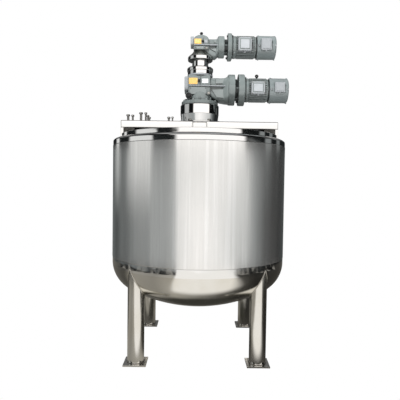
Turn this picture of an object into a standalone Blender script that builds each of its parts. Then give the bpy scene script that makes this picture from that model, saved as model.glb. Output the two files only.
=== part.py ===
"""Stainless mixing tank on four pipe legs, with two gearmotors one above the other.

Metres, +Z up. The origin is on the floor, on the tank's axis. The front, with the lid, faces -Y,
and the motors point to +X.
"""

import math
from dataclasses import dataclass

import bmesh
import bpy
from mathutils import Matrix, Vector

GAP = 0.0003
RUNNING_GAP = 0.0005

# Tank shell, from the outer cladding inwards
TANK_RADIUS = 0.750
HEAD_RADIUS = 0.748
INNER_RADIUS = 0.660
CLADDING_BOTTOM = 0.794
CLADDING_TOP = 1.743

# Torispherical bottom: knuckle and crown share their centres inside and outside
DISH_KNUCKLE_START = 0.755
KNUCKLE_RADIUS = 0.257
CROWN_RADIUS = 1.245
DISH_WALL = HEAD_RADIUS - INNER_RADIUS
OUTLET_RADIUS = 0.045
OUTLET_HEIGHT = 0.034

# Rounded shoulder and the flat rim that the covers rest on
SHOULDER_START = 1.776
SHOULDER_TOP = 1.806
SHOULDER_REACH = 0.076
RIM_INNER_RADIUS = 0.625

# Flat cover in two halves, split in front of the bridge
COVER_RADIUS = 0.684
COVER_THICKNESS = 0.033
COVER_SKIN = 0.006
COVER_EDGE = 0.030
COVER_SPLIT_Y = -0.210
LID_BACK_Y = -0.215
SHAFT_HOLE_RADIUS = 0.0675
LID_OPEN_CLEARANCE = 0.001

# Lid hinges and handle
HINGE_Y = -0.2125
KNUCKLE_BARREL_RADIUS = 0.012
HINGE_LIFT = 0.0013
HINGE_PIN_RADIUS = 0.005
HINGE_CENTRES_X = (-0.32, 0.32)
KNUCKLE_LENGTH = 0.030
HINGE_LEAF_LENGTH = 0.050
HINGE_LEAF_THICKNESS = 0.006
HINGE_LEAF_INSET = 0.001
HANDLE_Y = -0.600
HANDLE_HALF_LENGTH = 0.053
HANDLE_HEIGHT = 0.034
HANDLE_ROD_RADIUS = 0.0045

# Bridge over the tank that carries the drives
BRIDGE_HALF_LENGTH = 0.665
BRIDGE_HALF_WIDTH = 0.190
BRIDGE_BOTTOM = 1.890
BRIDGE_TOP = 1.952
BRIDGE_FOOT_THICKNESS = 0.023

# Shaft seal between cover and lantern
SEAL_RADIUS = 0.062
SEAL_FLANGE_RADIUS = 0.110
SEAL_FLANGE_THICKNESS = 0.016
SEAL_TOP = 2.012
SEAL_BORE_RADIUS = 0.0505

# Lantern, a closed drum around the seal
LANTERN_BASE_RADIUS = 0.178
LANTERN_BASE_THICKNESS = 0.022
LANTERN_FOOT_RADIUS = 0.147
LANTERN_BODY_RADIUS = 0.171
LANTERN_WIDEST = 2.088
LANTERN_TOP = 2.110
LANTERN_BORE_RADIUS = 0.0625

# Legs
LEG_OFFSET = 0.482
LEG_RADIUS = 0.0665
FOOT_PLATE_SIZE = 0.180
FOOT_PLATE_THICKNESS = 0.012

# Shafts and agitators inside the tank
OUTER_SHAFT_RADIUS = 0.045
OUTER_SHAFT_BORE = 0.032
OUTER_SHAFT_BOTTOM = 1.430
FRAME_RADIUS = 0.600
FRAME_TUBE_RADIUS = 0.022
FRAME_TOP = 1.480
FRAME_CORNER_RADIUS = 0.080
FRAME_HUB_RADIUS = 0.070
FRAME_HUB_HALF_HEIGHT = 0.040
INNER_SHAFT_RADIUS = 0.025
INNER_SHAFT_BOTTOM = 0.640
INNER_SHAFT_TOP = 2.598
HOLLOW_BORE_RADIUS = 0.033
PADDLE_HEIGHTS = {"paddle_lower": 0.700, "paddle_upper": 1.080}
PADDLE_REACH = 0.400
PADDLE_WIDTH = 0.090
PADDLE_THICKNESS = 0.010
PADDLE_PITCH = math.radians(45)
PADDLE_HUB_RADIUS = 0.048
PADDLE_HUB_HALF_HEIGHT = 0.045

# Stack of round pieces between the lantern and the two gearboxes
LOWER_FLANGE_RADIUS = 0.160
LOWER_FLANGE_TOP = 2.140
LOWER_HUB_RADIUS = 0.112
LOWER_HUB_TOP = 2.214
TOP_COVER_RADIUS = 0.111
TOP_COVER_BOTTOM = 2.3613
TOP_COVER_TOP = 2.406
SPOOL_RADIUS = 0.1145
SPOOL_RING_TOP = 2.442
SPOOL_NECK_RADIUS = 0.071
SPOOL_TOP = 2.505
UPPER_FLANGE_RADIUS = 0.109
UPPER_FLANGE_TOP = 2.530
UPPER_HUB_RADIUS = 0.078
UPPER_HUB_NECK_RADIUS = 0.060
UPPER_HUB_TOP = 2.608

# Tri-clamp stubs on the bridge: x, y, top, head radius
STUBS = {
    "stub_1": (-0.6155, -0.100, 2.012, 0.0160),
    "stub_2": (-0.5760, -0.100, 2.009, 0.0130),
    "stub_3": (-0.5050, -0.100, 2.031, 0.0165),
    "stub_4": (-0.4640, -0.100, 2.031, 0.0125),
    "stub_5": (-0.4620, 0.050, 2.031, 0.0125),
    "stub_6": (-0.4605, 0.160, 2.031, 0.0125),
    "stub_7": (-0.2650, -0.100, 1.996, 0.0140),
    "stub_8": (-0.2333, -0.100, 1.998, 0.0100),
}
STUB_HEAD_HEIGHT = 0.008
STUB_TUBE_SHARE = 0.68

ROUND_LARGE = 60
ROUND_MEDIUM = 28
ROUND_SMALL = 16

FINISHES = {
    "brushed_steel": ((0.62, 0.62, 0.60), 0.38, 1.0),
    "mirror_steel": ((0.80, 0.80, 0.79), 0.08, 1.0),
    "drive_paint": ((0.22, 0.27, 0.27), 0.45, 0.0),
    "drive_paint_light": ((0.40, 0.45, 0.46), 0.42, 0.0),
    "cowl_paint": ((0.19, 0.23, 0.23), 0.50, 0.0),
    "black_plastic": ((0.03, 0.03, 0.03), 0.50, 0.0),
    "inner_steel": ((0.66, 0.66, 0.65), 0.25, 1.0),
}


@dataclass
class Drive:
    """One helical-bevel gearmotor. Lengths along X, heights along Z, half sizes in Y."""

    name: str
    axis_z: float
    box_x: tuple
    box_z: tuple
    box_half_y: float
    box_edge: float
    cover_x: float
    neck_x: float
    neck_start: tuple
    belly_x: float
    flange_x: float
    flange_radius: float
    spigot_radius: float
    motor_flange_x: tuple
    motor_flange_radius: float
    motor_end: float
    motor_radius: float
    cowl_end: float
    cowl_radius: float
    terminal_x: tuple
    terminal_z: tuple
    terminal_depth: float
    cowl_box_x: tuple
    cowl_box_z: tuple
    bore_radius: float


LOWER_DRIVE = Drive(
    name="lower",
    axis_z=2.253,
    box_x=(-0.102, 0.088),
    box_z=(2.2143, 2.361),
    box_half_y=0.100,
    box_edge=0.012,
    cover_x=-0.134,
    neck_x=0.243,
    neck_start=(2.285, 0.084, 0.068),
    belly_x=0.124,
    flange_x=0.304,
    flange_radius=0.1345,
    spigot_radius=0.092,
    motor_flange_x=(0.334, 0.389),
    motor_flange_radius=0.1365,
    motor_end=0.590,
    motor_radius=0.1045,
    cowl_end=0.771,
    cowl_radius=0.107,
    terminal_x=(0.439, 0.555),
    terminal_z=(2.195, 2.299),
    terminal_depth=0.052,
    cowl_box_x=(0.644, 0.731),
    cowl_box_z=(2.213, 2.298),
    bore_radius=HOLLOW_BORE_RADIUS,
)

UPPER_DRIVE = Drive(
    name="upper",
    axis_z=2.626,
    box_x=(-0.060, 0.071),
    box_z=(2.6083, 2.731),
    box_half_y=0.075,
    box_edge=0.026,
    cover_x=-0.086,
    neck_x=0.150,
    neck_start=(2.652, 0.058, 0.040),
    belly_x=0.085,
    flange_x=0.207,
    flange_radius=0.094,
    spigot_radius=0.062,
    motor_flange_x=(0.237, 0.272),
    motor_flange_radius=0.118,
    motor_end=0.478,
    motor_radius=0.097,
    cowl_end=0.658,
    cowl_radius=0.100,
    terminal_x=(0.322, 0.436),
    terminal_z=(2.560, 2.674),
    terminal_depth=0.048,
    cowl_box_x=(0.522, 0.616),
    cowl_box_z=(2.565, 2.663),
    bore_radius=0.0,
)

MOTOR_RIBS = 22
MOTOR_RIB_DEPTH = 0.007


# Scene and mesh helpers


def clear_scene():
    for obj in list(bpy.data.objects):
        bpy.data.objects.remove(obj, do_unlink=True)


def new_collection(name):
    collection = bpy.data.collections.new(name)
    bpy.context.scene.collection.children.link(collection)
    return collection


def finish_material(name):
    """The Principled material of one finish, made once."""
    material = bpy.data.materials.get(name)
    if material is None:
        colour, roughness, metallic = FINISHES[name]
        material = bpy.data.materials.new(name)
        material.use_nodes = True
        shader = material.node_tree.nodes["Principled BSDF"]
        shader.inputs["Base Color"].default_value = (*colour, 1.0)
        shader.inputs["Roughness"].default_value = roughness
        shader.inputs["Metallic"].default_value = metallic
    return material


def add_object(name, mesh, finish, location=(0, 0, 0)):
    obj = bpy.data.objects.new(name, mesh)
    obj.location = location
    mesh.materials.append(finish_material(finish))
    PARTS.objects.link(obj)
    return obj


def as_tool(obj):
    """Turns an object into a Boolean operand that is neither rendered nor built."""
    PARTS.objects.unlink(obj)
    TOOLS.objects.link(obj)
    obj.hide_render = True
    obj.display_type = "WIRE"
    return obj


def mesh_from(build, name):
    bm = bmesh.new()
    build(bm)
    bmesh.ops.recalc_face_normals(bm, faces=bm.faces)
    mesh = bpy.data.meshes.new(name)
    bm.to_mesh(mesh)
    bm.free()
    return mesh


def smooth(obj):
    obj.data.shade_smooth()
    obj.data.set_sharp_from_angle(angle=math.radians(35))
    return obj


def boolean(obj, tool, operation):
    modifier = obj.modifiers.new(f"{operation.title()} {tool.name}", "BOOLEAN")
    modifier.operation = operation
    modifier.object = tool
    return obj


def cut(obj, tool):
    return boolean(obj, tool, "DIFFERENCE")


def join(obj, tool):
    return boolean(obj, tool, "UNION")


def block(name, low, high, finish, bevel=0.0):
    """A box between two corners, with its vertical and horizontal edges rounded by bevel."""
    low, high = Vector(low), Vector(high)
    size, middle = high - low, (low + high) / 2

    def build(bm):
        bmesh.ops.create_cube(bm, size=1.0, matrix=Matrix.Diagonal((*size, 1.0)))

    obj = add_object(name, mesh_from(build, name), finish, middle)
    if bevel:
        modifier = obj.modifiers.new("Rounded edges", "BEVEL")
        modifier.width = bevel
        modifier.segments = 2
        modifier.limit_method = "ANGLE"
    return obj


def cylinder(name, radius, length, finish, location, axis="Z", segments=ROUND_SMALL):
    turn = {"X": Matrix.Rotation(math.pi / 2, 4, "Y"), "Y": Matrix.Rotation(math.pi / 2, 4, "X")}

    def build(bm):
        bmesh.ops.create_cone(
            bm,
            cap_ends=True,
            segments=segments,
            radius1=radius,
            radius2=radius,
            depth=length,
            matrix=turn.get(axis, Matrix.Identity(4)),
        )

    return smooth(add_object(name, mesh_from(build, name), finish, location))


def turned(name, profile, finish, closed, segments=ROUND_MEDIUM):
    """Turns a profile of (radius, height) about Z. It runs down the outer side first."""
    mesh = bpy.data.meshes.new(name)
    edges = [(i, i + 1) for i in range(len(profile) - 1)]
    if closed:
        edges.append((len(profile) - 1, 0))
    mesh.from_pydata([(r, 0.0, z) for r, z in profile], edges, [])
    obj = add_object(name, mesh, finish)
    screw = obj.modifiers.new("Turned", "SCREW")
    screw.steps = screw.render_steps = segments
    screw.use_merge_vertices = True
    screw.merge_threshold = 0.0001
    screw.use_smooth_shade = True
    return obj


def ring_profile(outer, inner, bottom, top):
    return [(outer, top), (outer, bottom), (inner, bottom), (inner, top)]


def lay_along_x(obj, height):
    """Turns a piece made about Z so that its axis lies along +X at a height."""
    obj.rotation_euler = (0.0, math.pi / 2, 0.0)
    obj.location = (0.0, 0.0, height)
    return obj


def arc(centre, radius, start, end, count, radius_z=None):
    """Points on a round or elliptic arc, in degrees from +r towards +z."""
    points = []
    for i in range(count + 1):
        angle = math.radians(start + (end - start) * i / count)
        points.append(
            (
                centre[0] + radius * math.cos(angle),
                centre[1] + (radius_z or radius) * math.sin(angle),
            )
        )
    return points


def oval_ring(x, centre_z, half_y, half_z, squareness, count):
    """One section across X, from an ellipse (squareness 2) to nearly a rectangle (8)."""
    points = []
    for i in range(count):
        angle = 2 * math.pi * (i + 0.5) / count
        c, s = math.cos(angle), math.sin(angle)
        reach = (abs(c) ** squareness + abs(s) ** squareness) ** (-1 / squareness)
        points.append((x, half_y * c * reach, centre_z + half_z * s * reach))
    return points


def lofted(name, sections, finish, count=ROUND_MEDIUM):
    """A closed skin through sections of (x, centre z, half y, half z, squareness)."""

    def build(bm):
        rings = [[bm.verts.new(p) for p in oval_ring(*s, count)] for s in sections]
        for near, far in zip(rings, rings[1:]):
            for i in range(count):
                j = (i + 1) % count
                bm.faces.new((near[i], near[j], far[j], far[i]))
        bm.faces.new(rings[0][::-1])
        bm.faces.new(rings[-1])

    return smooth(add_object(name, mesh_from(build, name), finish))


def tube(name, points, radius, finish, resolution=3):
    """A round bar along points, as a closed mesh."""
    curve = bpy.data.curves.new(name, "CURVE")
    curve.dimensions = "3D"
    curve.bevel_depth = radius
    curve.bevel_resolution = resolution
    curve.use_fill_caps = True
    spline = curve.splines.new("POLY")
    spline.points.add(len(points) - 1)
    for target, point in zip(spline.points, points):
        target.co = (*point, 1.0)
    guide = bpy.data.objects.new(name + "_curve", curve)
    PARTS.objects.link(guide)
    bpy.context.view_layer.update()
    evaluated = guide.evaluated_get(bpy.context.evaluated_depsgraph_get())
    mesh = bpy.data.meshes.new_from_object(evaluated)
    bpy.data.objects.remove(guide, do_unlink=True)
    bm = bmesh.new()
    bm.from_mesh(mesh)
    bmesh.ops.remove_doubles(bm, verts=bm.verts, dist=0.00001)
    bmesh.ops.recalc_face_normals(bm, faces=bm.faces)
    bm.to_mesh(mesh)
    bm.free()
    mesh.name = name
    return smooth(add_object(name, mesh, finish))


# Tank


def dish_curve(offset, knuckle_steps, crown_steps):
    """The dish's outline from its straight part to the pole, offset inwards."""
    knuckle_centre = (HEAD_RADIUS - KNUCKLE_RADIUS, DISH_KNUCKLE_START)
    spread = CROWN_RADIUS - KNUCKLE_RADIUS
    rise = math.sqrt(spread**2 - knuckle_centre[0] ** 2)
    crown_centre = (0.0, DISH_KNUCKLE_START + rise)
    join_angle = math.degrees(math.atan2(-rise, knuckle_centre[0]))
    points = arc(knuckle_centre, KNUCKLE_RADIUS - offset, 0, join_angle, knuckle_steps)
    points += arc(crown_centre, CROWN_RADIUS - offset, join_angle, -90, crown_steps)[1:]
    points[-1] = (0.0, points[-1][1])
    return points


def dish_pole(offset=0.0):
    return dish_curve(offset, 1, 1)[-1][1]


def make_cladding():
    profile = ring_profile(TANK_RADIUS, INNER_RADIUS, CLADDING_BOTTOM, CLADDING_TOP)
    turned("shell_cladding", profile, "brushed_steel", closed=True, segments=ROUND_LARGE)


def make_bottom_dish():
    top = CLADDING_BOTTOM - GAP
    outside = [(HEAD_RADIUS, top)] + dish_curve(0.0, 6, 4)
    inside = dish_curve(DISH_WALL, 3, 3)[::-1] + [(INNER_RADIUS, top)]
    turned("bottom_dish", outside + inside, "mirror_steel", closed=True, segments=ROUND_LARGE)


def make_bottom_outlet():
    pole = dish_pole()
    top = pole + 0.004
    head_top = pole - OUTLET_HEIGHT + 0.008
    profile = [
        (0.0, top),
        (OUTLET_RADIUS * 0.75, top),
        (OUTLET_RADIUS * 0.75, head_top),
        (OUTLET_RADIUS, head_top),
        (OUTLET_RADIUS, pole - OUTLET_HEIGHT),
        (0.0, pole - OUTLET_HEIGHT),
    ]
    outlet = turned("bottom_outlet", profile, "mirror_steel", closed=False, segments=ROUND_SMALL)
    cut(outlet, dish_tool("dish_seat_outlet"))


def dish_tool(name):
    """The space of the dish and what is above it, grown by the touching gap."""
    outside = [(HEAD_RADIUS + GAP, CLADDING_TOP), (HEAD_RADIUS + GAP, DISH_KNUCKLE_START)]
    outside += dish_curve(-GAP, 6, 4)[1:]
    profile = [(0.0, CLADDING_TOP)] + outside
    return as_tool(turned(name, profile, "mirror_steel", closed=False, segments=ROUND_LARGE))


def shoulder_curve(offset, steps):
    centre = (HEAD_RADIUS - SHOULDER_REACH, SHOULDER_START)
    height = SHOULDER_TOP - SHOULDER_START
    return arc(centre, SHOULDER_REACH + offset, 90, 0, steps, height + offset)


def make_shoulder():
    bottom = CLADDING_TOP + GAP
    profile = shoulder_curve(0.0, 6)
    profile += [(HEAD_RADIUS, bottom), (INNER_RADIUS, bottom), (INNER_RADIUS, SHOULDER_TOP - 0.010)]
    profile += [(RIM_INNER_RADIUS, SHOULDER_TOP - 0.010), (RIM_INNER_RADIUS, SHOULDER_TOP)]
    turned("top_shoulder", profile, "mirror_steel", closed=True, segments=ROUND_LARGE)


def make_legs():
    tool = dish_tool("dish_seat_legs")
    for front_back, y in (("front", -LEG_OFFSET), ("rear", LEG_OFFSET)):
        for side, x in (("left", -LEG_OFFSET), ("right", LEG_OFFSET)):
            bottom = FOOT_PLATE_THICKNESS + GAP
            length = CLADDING_BOTTOM - 0.040 - bottom
            place = (x, y, bottom + length / 2)
            leg = cylinder(
                f"leg_{front_back}_{side}",
                LEG_RADIUS,
                length,
                "mirror_steel",
                place,
                segments=ROUND_MEDIUM,
            )
            cut(leg, tool)
            half = FOOT_PLATE_SIZE / 2
            block(
                f"foot_plate_{front_back}_{side}",
                (x - half, y - half, 0.0),
                (x + half, y + half, FOOT_PLATE_THICKNESS),
                "mirror_steel",
            )


# Cover, lid and bridge


def half_disc(name, radius, bottom, top, cut_y, keep_front, finish):
    """The part of a disc in front of or behind a line across the tank."""
    disc = turned(name, [(0.0, top), (radius, top), (radius, bottom), (0.0, bottom)], finish, False)
    disc.modifiers["Turned"].steps = disc.modifiers["Turned"].render_steps = ROUND_LARGE
    reach = radius + 0.1
    low_y, high_y = (cut_y, reach) if keep_front else (-reach, cut_y)
    away = block(
        name + "_away", (-reach, low_y, bottom - 0.1), (reach, high_y, top + 0.1), finish
    )
    cut(disc, as_tool(away))
    return disc


def hinge_barrel(name, x_from, x_to, radius):
    place = ((x_from + x_to) / 2, HINGE_Y, hinge_height())
    tool = cylinder(name, radius, x_to - x_from, "inner_steel", place, axis="X")
    return as_tool(tool)


def hinge_height():
    return SHOULDER_TOP + GAP + COVER_THICKNESS + KNUCKLE_BARREL_RADIUS + HINGE_LIFT


def hinge_leaf(name, x_from, x_to, y_from, y_to):
    low = SHOULDER_TOP + GAP + COVER_THICKNESS - 0.002
    high = SHOULDER_TOP + GAP + COVER_THICKNESS + HINGE_LEAF_THICKNESS
    low_x, high_x = x_from + HINGE_LEAF_INSET, x_to - HINGE_LEAF_INSET
    return as_tool(block(name, (low_x, y_from, low), (high_x, y_to, high), "inner_steel"))


def make_rear_cover():
    bottom = SHOULDER_TOP + GAP
    top = bottom + COVER_THICKNESS
    cover = half_disc(
        "rear_cover", COVER_RADIUS, bottom, top, COVER_SPLIT_Y, False, "mirror_steel"
    )
    place = (0.0, 0.0, (bottom + top) / 2)
    hole = cylinder("shaft_hole", SHAFT_HOLE_RADIUS, 0.1, "mirror_steel", place)
    cut(cover, as_tool(hole))
    for side, x in zip(("left", "right"), HINGE_CENTRES_X):
        half = KNUCKLE_LENGTH / 2
        for end, sign in (("outer", -1), ("inner", 1)):
            near = x + sign * (half + RUNNING_GAP)
            far = x + sign * (half + KNUCKLE_LENGTH)
            low, high = sorted((near, far))
            name = f"cover_{side}_{end}"
            join(cover, hinge_leaf(name + "_leaf", low, high, HINGE_Y, HINGE_Y + HINGE_LEAF_LENGTH))
            join(cover, hinge_barrel(name + "_barrel", low, high, KNUCKLE_BARREL_RADIUS))
        reach = half + KNUCKLE_LENGTH / 2
        join(cover, hinge_barrel(f"cover_{side}_pin", x - reach, x + reach, HINGE_PIN_RADIUS))


def make_lid():
    bottom = SHOULDER_TOP + GAP
    top = bottom + COVER_THICKNESS
    lid = half_disc("front_lid", COVER_RADIUS, bottom, top, LID_BACK_Y, True, "mirror_steel")
    for side, x in zip(("left", "right"), HINGE_CENTRES_X):
        half = KNUCKLE_LENGTH / 2
        name = f"lid_{side}"
        join(lid, hinge_leaf(name + "_leaf", x - half, x + half, HINGE_Y - HINGE_LEAF_LENGTH, HINGE_Y))
        join(lid, hinge_barrel(name + "_barrel", x - half, x + half, KNUCKLE_BARREL_RADIUS))
        hole_half = half + 0.001
        hole_radius = HINGE_PIN_RADIUS + RUNNING_GAP
        cut(lid, hinge_barrel(name + "_pin_hole", x - hole_half, x + hole_half, hole_radius))
    hollow = half_disc(
        "lid_hollow",
        RIM_INNER_RADIUS - LID_OPEN_CLEARANCE,
        bottom - 0.05,
        top - COVER_SKIN,
        LID_BACK_Y - COVER_EDGE,
        True,
        "mirror_steel",
    )
    cut(lid, as_tool(hollow))


def make_lid_handle():
    foot = SHOULDER_TOP + GAP + COVER_THICKNESS + GAP
    top = foot + HANDLE_HEIGHT - HANDLE_ROD_RADIUS
    bend = 0.012
    half = HANDLE_HALF_LENGTH
    points = [(-half, HANDLE_Y, foot)]
    for x, z in arc((-half + bend, top - bend), bend, 180, 90, 3):
        points.append((x, HANDLE_Y, z))
    for x, z in arc((half - bend, top - bend), bend, 90, 0, 3):
        points.append((x, HANDLE_Y, z))
    points.append((half, HANDLE_Y, foot))
    tube("lid_handle", points, HANDLE_ROD_RADIUS, "mirror_steel", resolution=2)


def make_bridge():
    beam = block(
        "bridge_beam",
        (-BRIDGE_HALF_LENGTH, -BRIDGE_HALF_WIDTH, BRIDGE_BOTTOM),
        (BRIDGE_HALF_LENGTH, BRIDGE_HALF_WIDTH, BRIDGE_TOP),
        "mirror_steel",
    )
    middle = (0.0, 0.0, (BRIDGE_BOTTOM + BRIDGE_TOP) / 2)
    hole = cylinder("seal_hole", SHAFT_HOLE_RADIUS, 0.2, "mirror_steel", middle, segments=ROUND_SMALL)
    cut(beam, as_tool(hole))
    seat = shoulder_tool()
    for side, sign in (("left", -1), ("right", 1)):
        outer = sign * BRIDGE_HALF_LENGTH
        inner = sign * (BRIDGE_HALF_LENGTH - BRIDGE_FOOT_THICKNESS)
        low, high = sorted((outer, inner))
        foot = block(
            f"bridge_foot_{side}",
            (low, -BRIDGE_HALF_WIDTH, SHOULDER_START),
            (high, BRIDGE_HALF_WIDTH, BRIDGE_BOTTOM - GAP),
            "mirror_steel",
        )
        cut(foot, seat)


def shoulder_tool():
    """The space of the shoulder and of both covers, grown by the touching gap."""
    cover_top = SHOULDER_TOP + COVER_THICKNESS + 2 * GAP
    profile = [(0.0, cover_top), (COVER_RADIUS + GAP, cover_top), (COVER_RADIUS + GAP, SHOULDER_TOP)]
    profile += [p for p in shoulder_curve(GAP, 6) if p[0] > COVER_RADIUS + 2 * GAP]
    profile += [(HEAD_RADIUS + GAP, CLADDING_TOP), (0.0, CLADDING_TOP)]
    return as_tool(turned("shoulder_seat", profile, "mirror_steel", False, ROUND_LARGE))


def make_stubs():
    for name, (x, y, top, head) in STUBS.items():
        tube_radius = head * STUB_TUBE_SHARE
        bottom = BRIDGE_TOP + GAP
        neck = top - STUB_HEAD_HEIGHT
        profile = [
            (0.0, top),
            (head, top),
            (head, neck),
            (tube_radius, neck - 0.004),
            (tube_radius, bottom),
            (0.0, bottom),
        ]
        stub = turned(name, profile, "mirror_steel", closed=False, segments=ROUND_SMALL)
        stub.location = (x, y, 0.0)


# Shaft seal, lantern and the round pieces above it


def make_seal_housing():
    foot = SHOULDER_TOP + COVER_THICKNESS + 2 * GAP
    flange_top = foot + SEAL_FLANGE_THICKNESS
    profile = [
        (SEAL_RADIUS, SEAL_TOP),
        (SEAL_RADIUS, flange_top),
        (SEAL_FLANGE_RADIUS, flange_top),
        (SEAL_FLANGE_RADIUS, foot),
        (SEAL_BORE_RADIUS, foot),
        (SEAL_BORE_RADIUS, SEAL_TOP),
    ]
    turned("seal_housing", profile, "mirror_steel", closed=True)


def make_lantern():
    bottom = BRIDGE_TOP + GAP
    base_top = bottom + LANTERN_BASE_THICKNESS
    outside = [
        (LANTERN_BODY_RADIUS - 0.010, LANTERN_TOP),
        (LANTERN_BODY_RADIUS, LANTERN_TOP - 0.010),
        (LANTERN_BODY_RADIUS, LANTERN_WIDEST),
        (LANTERN_BODY_RADIUS - 0.006, LANTERN_WIDEST - 0.035),
        (LANTERN_FOOT_RADIUS, base_top + 0.012),
        (LANTERN_FOOT_RADIUS, base_top),
        (LANTERN_BASE_RADIUS, base_top),
        (LANTERN_BASE_RADIUS, bottom),
    ]
    bore = [(LANTERN_BORE_RADIUS, bottom), (LANTERN_BORE_RADIUS, LANTERN_TOP)]
    turned("lantern", outside + bore, "mirror_steel", closed=True)


def make_lower_output_flange():
    bottom = LANTERN_TOP + GAP
    bore = OUTER_SHAFT_RADIUS + RUNNING_GAP
    profile = [
        (LOWER_HUB_RADIUS - 0.010, LOWER_HUB_TOP),
        (LOWER_HUB_RADIUS, LOWER_HUB_TOP - 0.012),
        (LOWER_HUB_RADIUS + 0.004, LOWER_FLANGE_TOP + 0.014),
        (LOWER_FLANGE_RADIUS - 0.020, LOWER_FLANGE_TOP),
        (LOWER_FLANGE_RADIUS, LOWER_FLANGE_TOP - 0.004),
        (LOWER_FLANGE_RADIUS, bottom),
        (bore, bottom),
        (bore, LOWER_HUB_TOP),
    ]
    turned("lower_output_flange", profile, "drive_paint", closed=True)


def make_top_cover():
    profile = [
        (TOP_COVER_RADIUS - 0.004, TOP_COVER_TOP),
        (TOP_COVER_RADIUS, TOP_COVER_TOP - 0.004),
        (TOP_COVER_RADIUS, TOP_COVER_BOTTOM),
        (HOLLOW_BORE_RADIUS, TOP_COVER_BOTTOM),
        (HOLLOW_BORE_RADIUS, TOP_COVER_TOP),
    ]
    turned("lower_top_cover", profile, "drive_paint_light", closed=True)


def make_spool():
    bottom = TOP_COVER_TOP + GAP
    profile = [
        (SPOOL_NECK_RADIUS, SPOOL_TOP),
        (SPOOL_NECK_RADIUS, SPOOL_RING_TOP + 0.004),
        (SPOOL_NECK_RADIUS + 0.006, SPOOL_RING_TOP),
        (SPOOL_RADIUS - 0.012, SPOOL_RING_TOP),
        (SPOOL_RADIUS - 0.004, SPOOL_RING_TOP - 0.004),
        (SPOOL_RADIUS, SPOOL_RING_TOP - 0.013),
        (SPOOL_RADIUS, bottom),
        (HOLLOW_BORE_RADIUS, bottom),
        (HOLLOW_BORE_RADIUS, SPOOL_TOP),
    ]
    turned("spool", profile, "mirror_steel", closed=True)


def make_upper_output_flange():
    bottom = SPOOL_TOP + GAP
    bore = INNER_SHAFT_RADIUS + RUNNING_GAP
    profile = [
        (UPPER_HUB_NECK_RADIUS, UPPER_HUB_TOP),
        (UPPER_HUB_NECK_RADIUS, UPPER_HUB_TOP - 0.014),
        (UPPER_HUB_RADIUS, UPPER_FLANGE_TOP + 0.044),
        (UPPER_FLANGE_RADIUS - 0.012, UPPER_FLANGE_TOP + 0.006),
        (UPPER_FLANGE_RADIUS, UPPER_FLANGE_TOP - 0.004),
        (UPPER_FLANGE_RADIUS, bottom + 0.009),
        (UPPER_FLANGE_RADIUS - 0.018, bottom),
        (bore, bottom),
        (bore, UPPER_HUB_TOP),
    ]
    turned("upper_output_flange", profile, "mirror_steel", closed=True)


# Gearmotors


def make_gearbox(drive):
    low_x, high_x = drive.box_x
    low_z, high_z = drive.box_z
    half_y = drive.box_half_y
    housing = block(
        f"{drive.name}_gearbox",
        (low_x, -half_y, low_z),
        (high_x, half_y, high_z),
        "drive_paint",
        bevel=drive.box_edge,
    )
    rib_z = drive.axis_z + 0.029
    rib = block(
        f"{drive.name}_housing_rib",
        (low_x + 0.006, -half_y - 0.005, rib_z - 0.005),
        (high_x - 0.006, half_y + 0.005, rib_z + 0.005),
        "drive_paint",
    )
    join(housing, as_tool(rib))
    if drive.bore_radius:
        place = (0.0, 0.0, (low_z + high_z) / 2)
        bore = cylinder(f"{drive.name}_bore", drive.bore_radius, 0.4, "drive_paint", place)
        cut(housing, as_tool(bore))


def make_side_cover(drive):
    low_x = drive.box_x[0]
    half_y = drive.box_half_y - 0.014
    half_z = (drive.box_z[1] - drive.box_z[0]) / 2 - 0.004
    middle = (drive.box_z[0] + drive.box_z[1]) / 2
    thickness = low_x - GAP - drive.cover_x
    sections = [
        (drive.cover_x, middle, half_y - 0.004, half_z - 0.004, 6),
        (drive.cover_x + 0.004, middle, half_y, half_z, 6),
        (drive.cover_x + thickness, middle, half_y, half_z, 6),
    ]
    lofted(f"{drive.name}_side_cover", sections, "drive_paint", count=ROUND_SMALL)


def make_neck(drive):
    start = drive.box_x[1] + GAP
    centre, half_y, half_z = drive.neck_start
    length = drive.neck_x - drive.belly_x
    rim = drive.flange_radius
    throat = rim - 0.012
    sections = [
        (start, centre, half_y, half_z, 6),
        (drive.belly_x, centre, half_y, half_z, 6),
        (drive.belly_x + length * 0.6, drive.axis_z, half_y, throat, 4),
        (drive.neck_x - 0.004, drive.axis_z, half_y, throat, 4),
        (drive.neck_x + 0.008, drive.axis_z, rim, rim, 2),
        (drive.flange_x - 0.006, drive.axis_z, rim, rim, 2),
        (drive.flange_x, drive.axis_z, rim - 0.006, rim - 0.006, 2),
    ]
    lofted(f"{drive.name}_neck", sections, "drive_paint")


def ribbed_outline(radius, depth, ribs):
    """A round outline with flat-topped ribs, four points a rib."""
    points = []
    for i in range(ribs):
        for share, r in ((0.0, radius), (0.4, radius), (0.5, radius - depth), (0.9, radius - depth)):
            angle = 2 * math.pi * (i + share) / ribs
            points.append((r * math.cos(angle), r * math.sin(angle)))
    return points


def ribbed_drum(name, radius, start, end, finish):
    def build(bm):
        outline = ribbed_outline(radius, MOTOR_RIB_DEPTH, MOTOR_RIBS)
        near = [bm.verts.new((start, y, z)) for y, z in outline]
        far = [bm.verts.new((end, y, z)) for y, z in outline]
        for i in range(len(outline)):
            j = (i + 1) % len(outline)
            bm.faces.new((near[i], near[j], far[j], far[i]))
        bm.faces.new(near[::-1])
        bm.faces.new(far)

    return add_object(name, mesh_from(build, name), finish)


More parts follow.
